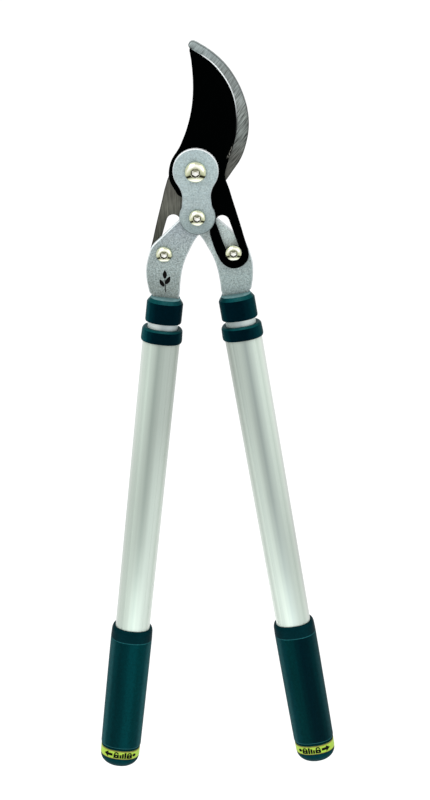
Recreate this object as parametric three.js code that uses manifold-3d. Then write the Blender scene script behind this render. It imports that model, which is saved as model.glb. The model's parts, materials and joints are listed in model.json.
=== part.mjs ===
// Compound-action bypass loppers with telescopic twist-lock handles.
// Units are millimetres, +Z is up. The origin is on the flush back face of the rear link plate,
// on the centre line and 20 mm below the axis of the main pivot. -Y is the front, +X is the right
// and +Z runs up the tool towards the jaws. The pieces are drawn about the main pivot, midway
// between the cutting blade and the hook, and the whole tool is then placed on the origin.
//
// The head is a stack of plates along Y, front to back:
//   front link plate | blade and left bracket | hook and right bracket | rear link plate
// The blade and hook turn on the main pivot, the two handle brackets on the lower pivot. A bolt in
// each bracket carries a bush that rides in the slot of the opposite jaw's arm, so opening the
// handles opens the jaws.
import * as THREE from "three";
import { mergeVertices } from "three/addons/utils/BufferGeometryUtils.js";
import Module from "manifold-3d";

// ---------------------------------------------------------------- head dimensions
const ORIGIN_DROP = 20; // the origin below the main pivot
const LOWER_PIVOT_Z = -37.8;
const SLIDE_BOLT = [28.5, -69.3]; // X and Z on the right side, mirrored on the left
const SLOT_TOP = [20.1, -43.4]; // other end of the jaw slot, just beyond the travel of the bush
const SLOT_R = 5.7;
const BUSH_R = 5.3;
const BUSH_END_PLAY = 0.2; // at each face of the bush

const GAP = 0.3; // between stacked plates
const JAW_T = 5.0; // blade, hook and bracket thickness
const FRONT_LINK_T = 4.0;
const REAR_LINK_T = 7.2; // thick enough to sink the nuts
const LINK_BIG_R = 18.4;
const LINK_SMALL_R = 14.6;
const LINK_WAIST = 11.6;
const HUB_R = 25.2; // underside of the jaw hubs
const EYE_R = 9.8; // bracket eye on the lower pivot
const ARM_CLEAR_R = EYE_R + 0.8; // jaw arm round the bracket eye

const BORE_PLAY = 0.3; // on radius
const MAIN_BOLT = { shankR: 5.0, headR: 8.75, headH: 5.0, socketR: 3.3 };
const SMALL_BOLT = { shankR: 4.0, headR: 6.75, headH: 4.2, socketR: 2.8 };
const HEAD_RIM = 1.1; // straight rim under the dome of a bolt head
const MAIN_NUT_R = 8.6; // to the corners
const SMALL_NUT_R = 7.2;
const NUT_T = 4.6;
const NUT_SINK = 0.3; // nut below the back of the rear plate
const SLIDE_NUT_T = 4.8;
const POCKET_PLAY = 0.4; // nut pocket, on radius
const POCKET_DEPTH = NUT_T + 0.6;
const CUT_OVER = 1.0; // overshoot of the pocket cutter

// Faces of the stacked layers, in Y.
const BLADE_BACK = -GAP / 2;
const HOOK_BACK = GAP / 2 + JAW_T;
const FRONT_LINK_BACK = BLADE_BACK - JAW_T - GAP;
const FRONT_LINK_FRONT = FRONT_LINK_BACK - FRONT_LINK_T;
const REAR_LINK_BACK = HOOK_BACK + GAP + REAR_LINK_T;

// ---------------------------------------------------------------- handle dimensions
const HANDLE_ANGLE = 8.0; // degrees from the centre line
const HANDLE_OFFSET = 19.2; // tube centre line, measured square to it from the lower pivot

// Distances along the handle, from the foot of that perpendicular.
const COLLAR_TOP = 72.5;
const INNER_TOP = 76.6;
const RIVET_AT = 85;
const COLLAR_END = 94.7;
const RING_TOP = 100.3;
const RING_STEP = 103.0;
const OUTER_TOP = 103.4;
const RING_END = 112.0;
const TANG_END = 140;
const EXPANDER_TOP = 152;
const EXPANDER_END = 186;
const GRIP_TOP = 397.6;
const INNER_END = 447.0;
const OUTER_END = 528.5;
const GRIP_END = 531.1;
const CAP_TOP = 531.7;
const BAND_TOP = 533.1;
const BAND_END = 542.6;
const CAP_END = 557.3;

// Sections: half width and half depth.
const OUTER = [15.8, 11.2];
const INNER = [12.75, 8.4];
const GRIP = [19.15, 13.6];
const WALL = 1.5; // of both tubes
const FIT = 0.35; // play between nested parts of the handle
const OVAL_POWER = 2.35; // exponent of the rounded oval section
const OVAL_POINTS = 24;

const TANG_HALF = 8.0;
const SHOULDER_HALF = 11.0; // bracket where it enters the collar
const SLIT_SIDE_PLAY = 0.4; // each side of the tang and shoulder
const SLIT_DEPTH = JAW_T + 0.7;
const RIVET_R = 2.4;
const RIVET_SIDES = 14;
const ROD_R = 3.4;
const ROD_BORE_R = ROD_R + 0.5;
const BAND_PLAY = 0.3; // colour band in its groove, at each end

// ---------------------------------------------------------------- finishes
const FINISH = {
  paint: { color: 0xaebcbe, roughness: 0.45, metalness: 0.55 },
  coated: { color: 0x0b0c0d, roughness: 0.35, metalness: 0.2 },
  ground: { color: 0x8b8b82, roughness: 0.4, metalness: 0.9 },
  plated: { color: 0xd9d8c4, roughness: 0.2, metalness: 1.0 },
  alu: { color: 0xc8d2ca, roughness: 0.35, metalness: 0.9 },
  teal: { color: 0x0b3b3d, roughness: 0.6, metalness: 0.0 },
  darkTeal: { color: 0x06262b, roughness: 0.5, metalness: 0.0 },
  lime: { color: 0xa8d73c, roughness: 0.5, metalness: 0.0 },
  plastic: { color: 0x1c1f20, roughness: 0.6, metalness: 0.0 },
  bronze: { color: 0xa88a50, roughness: 0.4, metalness: 0.8 },
};

// ---------------------------------------------------------------- solids and meshes
const wasm = await Module();
wasm.setup();
const WELD = 1e-4; // vertices closer than this are merged

// A manifold from a closed geometry, turned right side out if it was wound inwards.
function solid(geometry) {
  geometry.deleteAttribute("normal");
  geometry.deleteAttribute("uv");
  const welded = mergeVertices(geometry, WELD);
  const index = welded.index.array;
  const triangles = [];
  for (let i = 0; i < index.length; i += 3) {
    const [a, b, c] = index.slice(i, i + 3);
    if (a !== b && b !== c && a !== c) triangles.push(a, b, c);
  }
  const make = () =>
    new wasm.Manifold(
      new wasm.Mesh({
        numProp: 3,
        vertProperties: Float32Array.from(welded.attributes.position.array),
        triVerts: new Uint32Array(triangles),
      }),
    );
  const made = make();
  if (made.volume() >= 0) return made;
  triangles.reverse();
  return make();
}

function geometryOf(body) {
  const mesh = body.getMesh();
  const geometry = new THREE.BufferGeometry();
  geometry.setAttribute("position", new THREE.Float32BufferAttribute(mesh.vertProperties, 3));
  geometry.setIndex(new THREE.Uint32BufferAttribute(mesh.triVerts, 1));
  geometry.computeVertexNormals();
  return geometry;
}

function indexedGeometry(positions, faces) {
  const geometry = new THREE.BufferGeometry();
  geometry.setAttribute("position", new THREE.Float32BufferAttribute(positions, 3));
  geometry.setIndex(faces);
  return geometry;
}

const root = new THREE.Group();
const tool = new THREE.Group(); // drawn about the main pivot
tool.position.set(0, -REAR_LINK_BACK, ORIGIN_DROP);
root.add(tool);

function addPiece(parent, name, body, finish, x = 0, y = 0, z = 0) {
  const mesh = new THREE.Mesh(geometryOf(body), new THREE.MeshStandardMaterial(finish));
  mesh.name = name;
  mesh.position.set(x, y, z);
  parent.add(mesh);
  return mesh;
}

// Stands a flat plate upright with its back face at yBack.
function addPlate(name, body, finish, yBack, x = 0, z = 0) {
  addPiece(tool, name, body, finish, x, yBack, z).rotation.x = Math.PI / 2;
}

// ---------------------------------------------------------------- outlines
const radians = THREE.MathUtils.degToRad;
const vectors = (points) => points.map(([x, y]) => new THREE.Vector2(x, y));
const mirror = (points) => points.map(([x, y]) => [-x, y]).reverse();
const grow = (section, by) => section.map((half) => half + by);

// Angles in degrees.
const arc = (x, y, radius, from, to, steps) =>
  Array.from({ length: steps + 1 }, (_, i) => {
    const angle = radians(from + ((to - from) * i) / steps);
    return [x + radius * Math.cos(angle), y + radius * Math.sin(angle)];
  });
const circle = (x, y, radius, steps) => arc(x, y, radius, 0, 360, steps).slice(0, steps);
const boltHole = ({ shankR }, x, z) => circle(x, z, shankR + BORE_PLAY, 20);

function slot(start, end, radius) {
  const slope = Math.atan2(end[1] - start[1], end[0] - start[0]);
  const heading = THREE.MathUtils.radToDeg(slope);
  return [
    ...arc(...start, radius, heading + 90, heading + 270, 9),
    ...arc(...end, radius, heading - 90, heading + 90, 9),
  ];
}

// ---------------------------------------------------------------- shape builders
// A flat plate drawn in X and Y, which become X and Z once it stands. Local Z = 0 is its back.
function plate(outline, holes, thickness) {
  const shape = new THREE.Shape(vectors(outline));
  shape.holes = holes.map((hole) => new THREE.Path(vectors(hole)));
  return solid(new THREE.ExtrudeGeometry(shape, { depth: thickness, bevelEnabled: false }));
}

// Joins two rings of points, given by the index of their first vertex, with a wall.
function pushWall(faces, ringA, ringB, count) {
  for (let i = 0; i < count; i++) {
    const j = (i + 1) % count;
    faces.push(ringA + i, ringB + i, ringB + j, ringA + i, ringB + j, ringA + j);
  }
}

// A jaw plate whose front face is drawn in along part of its outline, for a ground edge.
// The outline runs clockwise and the holes anticlockwise. The edge has
//   first, last: outline vertices between which it is ground
//   rampIn, rampOut: number of steps over which the grinding sets in and fades
//   depth: how far the front face is drawn in
//   land: thickness left at the edge
function groundPlate(outline, holes, edge) {
  const count = outline.length;
  const front = outline.map(([x, y], i) => {
    const before = outline[(i + count - 1) % count];
    const after = outline[(i + 1) % count];
    const dx = after[0] - before[0];
    const dy = after[1] - before[1];
    const share = Math.min((i - edge.first) / edge.rampIn, (edge.last - i) / edge.rampOut, 1);
    const inset = (edge.depth * Math.max(share, 0)) / Math.hypot(dx, dy);
    return [x + dy * inset, y - dx * inset];
  });

  const positions = [];
  const faces = [];
  const addRing = (points, z) => {
    const start = positions.length / 3;
    points.forEach(([x, y]) => positions.push(x, y, z));
    return start;
  };
  const cap = (points, starts, facesBack) => {
    const index = [points, ...holes].flatMap((ring, k) => ring.map((_, i) => starts[k] + i));
    for (const corners of THREE.ShapeUtils.triangulateShape(vectors(points), holes.map(vectors))) {
      if (facesBack) corners.reverse();
      faces.push(...corners.map((corner) => index[corner]));
    }
  };

  const backRing = addRing(outline, 0);
  const landRing = addRing(outline, edge.land);
  const frontRing = addRing(front, JAW_T);
  const holeBacks = holes.map((hole) => addRing(hole, 0));
  const holeFronts = holes.map((hole) => addRing(hole, JAW_T));
  cap(outline, [backRing, ...holeBacks], true);
  cap(front, [frontRing, ...holeFronts], false);
  pushWall(faces, backRing, landRing, count);
  pushWall(faces, landRing, frontRing, count);
  holes.forEach((hole, k) => pushWall(faces, holeBacks[k], holeFronts[k], hole.length));
  return solid(indexedGeometry(positions, faces));
}

// A rounded oval section.
function oval(halfWidth, halfDepth, power = OVAL_POWER) {
  const along = (value) => Math.sign(value) * Math.abs(value) ** (2 / power);
  return Array.from({ length: OVAL_POINTS }, (_, i) => {
    const angle = (2 * Math.PI * (i + 0.5)) / OVAL_POINTS;
    return [halfWidth * along(Math.cos(angle)), halfDepth * along(Math.sin(angle))];
  });
}

// A solid swept down the handle (local -Z) through rings of
//   [distance along the handle, half width, half depth, exponent of the oval if not the usual].
// The list starts and ends on the axis, at rings of width 0, or else closes on itself.
function ovalSolid(rings) {
  const positions = [];
  const faces = [];
  const starts = rings.map(([along, halfWidth, halfDepth, power]) => {
    const start = positions.length / 3;
    const points = halfWidth === 0 ? [[0, 0]] : oval(halfWidth, halfDepth, power);
    points.forEach(([x, y]) => positions.push(x, y, -along));
    return start;
  });
  const onAxis = (k) => rings[k][1] === 0;
  const joins = onAxis(0) ? rings.length - 1 : rings.length;
  for (let k = 0; k < joins; k++) {
    const next = (k + 1) % rings.length;
    const [a, b] = [starts[k], starts[next]];
    if (!onAxis(k) && !onAxis(next)) {
      pushWall(faces, a, b, OVAL_POINTS);
      continue;
    }
    for (let i = 0; i < OVAL_POINTS; i++) {
      const j = (i + 1) % OVAL_POINTS;
      if (onAxis(k)) faces.push(a, b + i, b + j);
      else faces.push(a + i, b, a + j);
    }
  }
  return solid(indexedGeometry(positions, faces));
}

// A straight sleeve with an outer and an inner section.
const sleeve = (outside, inside, top, end) =>
  ovalSolid([
    [top, ...outside],
    [end, ...outside],
    [end, ...inside],
    [top, ...inside],
  ]);

// A profile of [radius, y] turned about local Y.
const turned = (profile, sides) => new THREE.LatheGeometry(vectors(profile), sides);

// A profile of [radius, distance along the handle] turned about the handle's axis.
const turnedOnHandle = (profile, sides) => solid(turned(profile, sides).rotateX(-Math.PI / 2));

// A box across the handle, between two distances along it.
const handleBox = (width, depth, top, end, x = 0) =>
  solid(new THREE.BoxGeometry(width, depth, end - top).translate(x, 0, -(top + end) / 2));

// The cutter for the rivet hole, from front to back through the handle.
function rivetHole() {
  const radius = RIVET_R + BORE_PLAY;
  const cutter = new THREE.CylinderGeometry(radius, radius, 60, RIVET_SIDES);
  return solid(cutter.translate(0, 0, -RIVET_AT));
}

// A button-head bolt on local Y: under-head face at y = 0, shank towards +Y, hexagon socket in
// the domed head.
function bolt({ shankR, headR, headH, socketR }, length) {
  const profile = [
    [0, length],
    [shankR - 0.5, length],
    [shankR, length - 0.5],
    [shankR, 0],
    [headR - 0.1, 0],
  ];
  for (let i = 0; i < 6; i++) {
    const angle = radians(8 + (82 * i) / 6);
    profile.push([headR * Math.cos(angle), -HEAD_RIM - (headH - HEAD_RIM) * Math.sin(angle)]);
  }
  profile.push([0, -headH]);
  const socket = new THREE.CylinderGeometry(socketR, socketR, headH, 6);
  return solid(turned(profile, 20)).subtract(solid(socket.translate(0, -headH * 0.88, 0)));
}

const nut = (radius, { shankR }, thickness) =>
  plate(circle(0, 0, radius, 6), [circle(0, 0, shankR + BORE_PLAY, 16)], thickness);

// ---------------------------------------------------------------- link plates and pivots
// Right side, top to bottom, X and Z.
const linkSide = [
  ...arc(0, 0, LINK_BIG_R, 90, -36, 14),
  [12.75, -15.0],
  [LINK_WAIST + 0.1, -18.8],
  [LINK_WAIST - 0.1, -22.6],
  [LINK_WAIST + 0.3, -26.4],
  ...arc(0, LOWER_PIVOT_Z, LINK_SMALL_R, 32, -90, 12),
];
const linkOutline = [...linkSide, ...mirror(linkSide.slice(1, -1))];
const linkPlate = (thickness) =>
  plate(linkOutline, [boltHole(MAIN_BOLT, 0, 0), boltHole(SMALL_BOLT, 0, LOWER_PIVOT_Z)], thickness);

// A hexagonal pocket for a nut, open to the back so that the back is flush.
const nutPocket = (z, nutR) =>
  plate(circle(0, z, nutR + POCKET_PLAY, 6), [], POCKET_DEPTH + CUT_OVER).translate([
    0,
    0,
    -CUT_OVER,
  ]);

function addLinksAndPivots() {
  addPlate("front_link_plate", linkPlate(FRONT_LINK_T), FINISH.paint, FRONT_LINK_BACK);
  const rear = linkPlate(REAR_LINK_T)
    .subtract(nutPocket(0, MAIN_NUT_R))
    .subtract(nutPocket(LOWER_PIVOT_Z, SMALL_NUT_R));
  addPlate("rear_link_plate", rear, FINISH.paint, REAR_LINK_BACK);

  const length = REAR_LINK_BACK - FRONT_LINK_FRONT - 0.1;
  const yHead = FRONT_LINK_FRONT - GAP;
  for (const [name, size, nutR, z] of [
    ["main_pivot", MAIN_BOLT, MAIN_NUT_R, 0],
    ["lower_pivot", SMALL_BOLT, SMALL_NUT_R, LOWER_PIVOT_Z],
  ]) {
    addPiece(tool, `${name}_bolt`, bolt(size, length), FINISH.plated, 0, yHead, z);
    const yNut = REAR_LINK_BACK - NUT_SINK;
    addPlate(`${name}_nut`, nut(nutR, size, NUT_T), FINISH.plated, yNut, 0, z);
  }
}

// ---------------------------------------------------------------- blade and hook
// Outlines are X and Z, clockwise seen from the front.
// The jaw arm below the hub, as on the blade: it runs down to the right and carries the slot.
const armOuter = [
  [23.5, -8.6], [24.9, -12.8], [26.3, -17.0], [28.6, -25.4], [31.0, -33.8], [33.4, -42.3],
  [35.7, -50.8], [37.9, -59.3], [39.4, -64.4], [40.6, -68.6], [40.9, -72.4], [40.0, -76.2],
  [37.8, -79.3], [35.0, -81.5], [31.8, -82.9], [28.3, -83.3], [24.3, -82.4], [20.7, -80.2],
  [17.8, -76.8], [15.8, -72.9], [13.4, -67.1], [12.0, -62.8], [10.6, -57.8], [9.7, -53.4],
];
// Then round the bracket eye to the hub, and round the hub's underside.
const armInner = [
  [9.4, -50.2],
  [9.3, -46.9],
  ...arc(0, LOWER_PIVOT_Z, ARM_CLEAR_R, -26, 48, 8),
  [5.5, -27.4],
  ...arc(0, 0, HUB_R, -80, -127, 7),
];

// Cutting edge, from the tip down the right side.
const bladeEdge = [
  [-0.6, 95.9], [2.7, 93.9], [6.5, 91.6], [10.3, 88.9], [14.1, 86.0], [17.9, 82.4],
  [21.6, 78.0], [24.9, 73.4], [27.6, 68.9], [29.8, 64.3], [31.6, 59.5], [32.9, 54.5],
  [33.7, 49.5], [34.1, 44.5], [34.2, 39.5], [34.0, 34.7], [33.5, 30.2], [32.7, 26.0],
  [31.6, 21.5], [30.2, 17.0], [28.7, 12.8], [27.2, 8.6], [25.7, 4.4], [24.3, 0.2],
  [23.2, -3.8],
];
// From the left of the hub up to the tip.
const bladeSpine = [
  [-17.6, -15.9], [-20.0, -11.6], [-21.4, -8.0], [-21.9, -4.6], [-21.8, -1.0], [-21.1, 3.0],
  [-19.6, 7.2], [-17.3, 11.2], [-14.5, 15.1], [-12.0, 19.2], [-9.8, 24.0], [-7.7, 28.8],
  [-5.6, 34.5], [-3.9, 40.0], [-2.4, 46.0], [-1.2, 52.0], [-0.4, 58.0], [0.1, 64.0],
  [0.3, 70.0], [0.2, 76.0], [-0.1, 82.0], [-0.6, 88.0], [-1.3, 93.0], [-1.5, 95.0],
];
const bladeOutline = [...bladeEdge, ...armOuter, ...armInner, ...bladeSpine];

// From the tip down the right side to the hub's underside.
const hookOuter = [
  [-2.5, 97.6], [-1.4, 99.9], [0.9, 100.8], [3.4, 100.0], [6.8, 98.0], [10.6, 95.7],
  [14.4, 93.0], [18.2, 89.9], [22.0, 86.4], [25.8, 82.3], [29.5, 77.5], [33.3, 71.4],
  [36.8, 64.6], [39.3, 58.2], [41.1, 52.4], [42.4, 46.5], [43.1, 41.0], [43.3, 36.0],
  [43.1, 31.5], [42.4, 26.2], [41.3, 21.3], [40.1, 17.0], [38.7, 12.8], [36.9, 8.6],
  [34.7, 4.6], [32.0, 0.8], [29.2, -3.0], [26.5, -6.8], [23.8, -10.4], [20.6, -13.9],
  [17.8, -17.6],
];
// From the left of the hub, over it and up the inside of the hook to the tip.
const hookInner = [
  [-20.9, 5.0], [-18.6, 10.4], [-14.8, 15.4], [-9.6, 19.2], [-3.2, 21.4], [3.2, 22.6],
  [9.0, 25.4], [13.6, 30.2], [16.8, 36.4], [18.4, 43.6], [18.6, 51.0], [17.4, 58.6],
  [15.0, 66.0], [11.6, 73.2], [7.6, 80.0], [3.6, 86.2], [0.2, 91.8], [-1.7, 95.4],
];
const hookOutline = [
  ...hookOuter,
  ...mirror(armInner),
  ...mirror(armOuter),
  [-22.6, -5.0],
  [-22.4, 0.4],
  ...hookInner,
];

function addJaws() {
  const pivotHole = boltHole(MAIN_BOLT, 0, 0);
  const bladeSlot = slot(SLIDE_BOLT, SLOT_TOP, SLOT_R);
  const blade = groundPlate(bladeOutline, [pivotHole, bladeSlot], {
    first: 0,
    last: bladeEdge.length - 1,
    rampIn: 4,
    rampOut: 6,
    depth: 6.993,
    land: 1.0,
  });
  addPlate("cutting_blade", blade, FINISH.coated, BLADE_BACK);

  const hook = groundPlate(hookOutline, [pivotHole, mirror(bladeSlot)], {
    first: hookOutline.length - hookInner.length + 4,
    last: hookOutline.length - 1,
    rampIn: 3,
    rampOut: 3,
    depth: 1.6,
    land: 3.4,
  });
  addPlate("hook", hook, FINISH.ground, HOOK_BACK);
}

// ---------------------------------------------------------------- brackets and slide bolts
// Unit vectors of the right handle in X and Z: down its axis, and square to it to the right.
const handleSin = Math.sin(radians(HANDLE_ANGLE));
const handleCos = Math.cos(radians(HANDLE_ANGLE));
const handleDown = [handleSin, -handleCos];
const handleAcross = [handleCos, handleSin];

// X and Z on the right side of a point given off and along the tube's centre line.
const onHandle = ([across, along]) => [
  handleAcross[0] * (HANDLE_OFFSET + across) + handleDown[0] * along,
  LOWER_PIVOT_Z + handleAcross[1] * (HANDLE_OFFSET + across) + handleDown[1] * along,
];

// Right bracket, X and Z: outer side from the eye down to the collar.
const bracketOuter = [
  ...arc(0, LOWER_PIVOT_Z, EYE_R, 214, 30, 14),
  [11.7, -38.2], [15.2, -41.4], [19.2, -45.1], [22.8, -48.4], [26.5, -51.8], [30.2, -55.2],
  [34.0, -58.7], [37.2, -61.8], [39.3, -64.9], [41.1, -69.5], [42.6, -74.3], [43.7, -79.0],
  [44.2, -84.0], [44.2, -89.0], [43.8, -94.0], [43.0, -98.8], [41.7, -103.4],
];
// Inner side from the collar back up to the eye.
const bracketInner = [
  [17.1, -103.5], [16.7, -98.0], [16.1, -93.6], [15.4, -89.2], [14.5, -84.9], [13.4, -80.5],
  [11.9, -76.2], [10.1, -71.9], [7.9, -67.6], [5.7, -63.3], [3.4, -59.2], [0.5, -55.3],
  [-3.0, -51.0],
];
// Shoulder and tang: off and along the tube's centre line.
const tangSide = [
  [SHOULDER_HALF, COLLAR_TOP - 0.5],
  [SHOULDER_HALF, INNER_TOP - 1.2],
  [TANG_HALF, INNER_TOP - 1.0],
  [TANG_HALF, TANG_END - 3],
  [TANG_HALF - 3, TANG_END],
];
const bracketOutline = [
  ...bracketOuter,
  ...[...tangSide, ...mirror(tangSide)].map(onHandle),
  ...bracketInner,
];

// side is +1 for the right and -1 for the left.
function addBracket(side, prefix, yBack) {
  const [rivetX, rivetZ] = onHandle([0, RIVET_AT]);
  const holes = [
    boltHole(SMALL_BOLT, 0, LOWER_PIVOT_Z),
    boltHole(SMALL_BOLT, side * SLIDE_BOLT[0], SLIDE_BOLT[1]),
    circle(side * rivetX, rivetZ, RIVET_R + BORE_PLAY, RIVET_SIDES),
  ];
  const outline = side > 0 ? bracketOutline : mirror(bracketOutline);
  addPlate(`${prefix}bracket`, plate(outline, holes, JAW_T), FINISH.paint, yBack);
}

// Slide bolt, its bush in the jaw's slot, and its nut behind the hook's layer.
function addSlideBolt(side, prefix) {
  const x = side * SLIDE_BOLT[0];
  const z = SLIDE_BOLT[1];
  const pin = bolt(SMALL_BOLT, 2 * JAW_T + GAP + 6.0);
  addPiece(tool, `${prefix}slide_bolt`, pin, FINISH.plated, x, FRONT_LINK_BACK, z);

  const bore = circle(0, 0, SMALL_BOLT.shankR + BORE_PLAY, 16);
  const bush = plate(circle(0, 0, BUSH_R, 20), [bore], JAW_T - 2 * BUSH_END_PLAY);
  const yBush = (side > 0 ? BLADE_BACK : HOOK_BACK) - BUSH_END_PLAY;
  addPlate(`${prefix}slide_bush`, bush, FINISH.bronze, yBush, x, z);

  const slideNut = nut(SMALL_NUT_R, SMALL_BOLT, SLIDE_NUT_T);
  const yNut = HOOK_BACK + GAP + SLIDE_NUT_T;
  addPlate(`${prefix}slide_nut`, slideNut, FINISH.plated, yNut, x, z);
}

// ---------------------------------------------------------------- parts on the handle's axis
// Local -Z runs down the handle and local +X points to the right of the tool.
const INNER_BORE = grow(INNER, -WALL);
const OUTER_BORE = grow(OUTER, -WALL);
const IN_OUTER = grow(OUTER_BORE, -FIT); // parts that sit in the outer tube
const OVER_INNER = grow(INNER, FIT);
const OVER_OUTER = grow(OUTER, FIT);
const ROD_BORE = [ROD_BORE_R, ROD_BORE_R, 2]; // round

const bracketSlit = (half, top, end) =>
  handleBox(2 * (half + SLIT_SIDE_PLAY), SLIT_DEPTH, top, end);

// A cap over the top of the inner tube, slotted for the bracket.
const upperCollar = () =>
  ovalSolid([
    [COLLAR_TOP, 0, 0],
    [COLLAR_TOP, 12.2, 8.2],
    [COLLAR_TOP + 3.6, 15.2, 11.0],
    [COLLAR_END - 0.8, 15.3, 11.1],
    [COLLAR_END, 14.9, 10.7],
    [COLLAR_END, ...OVER_INNER],
    [INNER_TOP - 0.4, ...OVER_INNER],
    [INNER_TOP - 0.4, 0, 0],
  ]).subtract(bracketSlit(SHOULDER_HALF, COLLAR_TOP - 3, INNER_TOP + 1));

const innerTube = () => sleeve(INNER, INNER_BORE, INNER_TOP, INNER_END).subtract(rivetHole());

// Fills the inner tube round the tang.
function tangPlug() {
  const section = grow(INNER_BORE, -FIT);
  return ovalSolid([
    [INNER_TOP + 0.6, 0, 0],
    [INNER_TOP + 0.6, ...section],
    [TANG_END + 4, ...section],
    [TANG_END + 4, 0, 0],
  ])
    .subtract(bracketSlit(TANG_HALF, INNER_TOP - 1, TANG_END + 0.5))
    .subtract(rivetHole());
}

const tangRivet = () =>
  solid(new THREE.CylinderGeometry(RIVET_R, RIVET_R, 2 * INNER[1] - 0.4, RIVET_SIDES));

// On the lower end of the inner tube, with a lip over the tube's end.
function guideBush() {
  const bore = grow(INNER, 0.3);
  return ovalSolid([
    [INNER_END - 22, ...IN_OUTER],
    [INNER_END + 2.2, ...IN_OUTER],
    [INNER_END + 2.2, ...INNER_BORE],
    [INNER_END + 0.4, ...INNER_BORE],
    [INNER_END + 0.4, ...bore],
    [INNER_END - 22, ...bore],
  ]);
}

const outerTube = () => sleeve(OUTER, OUTER_BORE, OUTER_TOP, OUTER_END);

// A ring over the top of the outer tube, stepped in to the inner tube.
const tubeRing = () =>
  ovalSolid([
    [RING_TOP, 15.9, 11.6],
    [RING_TOP + 1.2, 17.0, 12.6],
    [RING_END - 2.4, 17.5, 13.0],
    [RING_END, 17.0, 12.5],
    [RING_END, ...OVER_OUTER],
    [RING_STEP, ...OVER_OUTER],
    [RING_STEP, ...OVER_INNER],
    [RING_TOP, ...OVER_INNER],
  ]);

// A sleeve that swells from its top, with a fine groove below the swelling.
const gripSleeve = () =>
  ovalSolid([
    [GRIP_TOP + 0.2, 16.9, 12.1],
    [GRIP_TOP + 1.2, 17.9, 12.9],
    [GRIP_TOP + 4.0, 18.8, 13.4],
    [GRIP_TOP + 11.8, ...GRIP],
    [GRIP_TOP + 12.6, ...grow(GRIP, -0.35)],
    [GRIP_TOP + 13.4, ...GRIP],
    [GRIP_END - 1.0, ...grow(GRIP, -0.1)],
    [GRIP_END, ...grow(GRIP, -0.9)],
    [GRIP_END, ...OVER_OUTER],
    [GRIP_TOP + 0.2, ...OVER_OUTER],
  ]);

// A plug in the lower end of the outer tube, bored for the rod.
const rodBearing = () => sleeve(IN_OUTER, ROD_BORE, OUTER_END - 24, OUTER_END + 0.4);

// Twist lock: the rod turns with the end cap, and its cone opens the split expander inside the
// inner tube. The expander is slit on its +X side only.
function lockExpander() {
  const section = grow(INNER_BORE, -0.4);
  return ovalSolid([
    [EXPANDER_TOP, ...section],
    [EXPANDER_END, ...section],
    [EXPANDER_END, ...ROD_BORE],
    [EXPANDER_TOP + 9, ...ROD_BORE],
    [EXPANDER_TOP, 5.3, 5.3, 2],
  ]).subtract(handleBox(12, 1.4, EXPANDER_TOP - 2, EXPANDER_END + 2, 8.0));
}

function lockCone() {
  const boreR = ROD_R - 0.9;
  return turnedOnHandle(
    [
      [boreR, EXPANDER_TOP - 5.0],
      [4.4, EXPANDER_TOP - 5.0],
      [4.9, EXPANDER_TOP - 4.4],
      [4.9, EXPANDER_TOP - 0.2],
      [3.6, EXPANDER_TOP + 7.6],
      [boreR, EXPANDER_TOP + 7.6],
      [boreR, EXPANDER_TOP - 5.0],
    ],
    16,
  );
}

// The rod is stepped down at its top to pass through the cone.
function lockRod() {
  const tipR = ROD_R - 1.3;
  return turnedOnHandle(
    [
      [0, EXPANDER_TOP - 4.6],
      [tipR, EXPANDER_TOP - 4.6],
      [tipR, EXPANDER_TOP + 8.2],
      [ROD_R, EXPANDER_TOP + 8.2],
      [ROD_R, CAP_TOP + 7.0],
      [0, CAP_TOP + 7.0],
    ],
    14,
  );
}

// A domed cap with a socket for the rod and a groove for the colour band.
function endCap() {
  const grooveTop = BAND_TOP - BAND_PLAY;
  const grooveEnd = BAND_END + BAND_PLAY;
  const rings = [
    [CAP_TOP + 8.0, 0, 0],
    [CAP_TOP + 8.0, ...ROD_BORE],
    [CAP_TOP, ...ROD_BORE],
    [CAP_TOP, 17.9, 12.5],
    [grooveTop, 18.4, 13.0],
    [grooveTop, 17.2, 11.8],
    [grooveEnd, 17.2, 11.8],
    [grooveEnd, 18.4, 13.0],
  ];
  for (let i = 1; i < 5; i++) {
    const angle = radians(8 + (82 * i) / 5);
    const along = grooveEnd + (CAP_END - grooveEnd) * Math.sin(angle);
    const shrink = Math.cos(angle);
    rings.push([along, 18.5 * shrink, 13.1 * shrink, OVAL_POWER - 0.06 * i]);
  }
  rings.push([CAP_END, 0, 0]);
  return ovalSolid(rings);
}

const colourBand = () =>
  ovalSolid([
    [BAND_TOP, 18.5, 13.1],
    [BAND_TOP + 0.5, 18.7, 13.3],
    [BAND_END - 0.5, 18.7, 13.3],
    [BAND_END, 18.5, 13.1],
    [BAND_END, 17.6, 12.2],
    [BAND_TOP, 17.6, 12.2],
  ]);

// Name, builder, finish, and distance of the mesh's origin along the handle if not 0.
const HANDLE_PARTS = [
  ["upper_collar", upperCollar, FINISH.darkTeal],
  ["inner_tube", innerTube, FINISH.alu],
  ["tang_plug", tangPlug, FINISH.plastic],
  ["tang_rivet", tangRivet, FINISH.plated, RIVET_AT],
  ["guide_bush", guideBush, FINISH.plastic],
  ["outer_tube", outerTube, FINISH.alu],
  ["tube_ring", tubeRing, FINISH.darkTeal],
  ["grip", gripSleeve, FINISH.teal],
  ["rod_bearing", rodBearing, FINISH.plastic],
  ["lock_expander", lockExpander, FINISH.plastic],
  ["lock_cone", lockCone, FINISH.plated],
  ["lock_rod", lockRod, FINISH.plated],
  ["end_cap", endCap, FINISH.teal],
  ["colour_band", colourBand, FINISH.lime],
];

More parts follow.
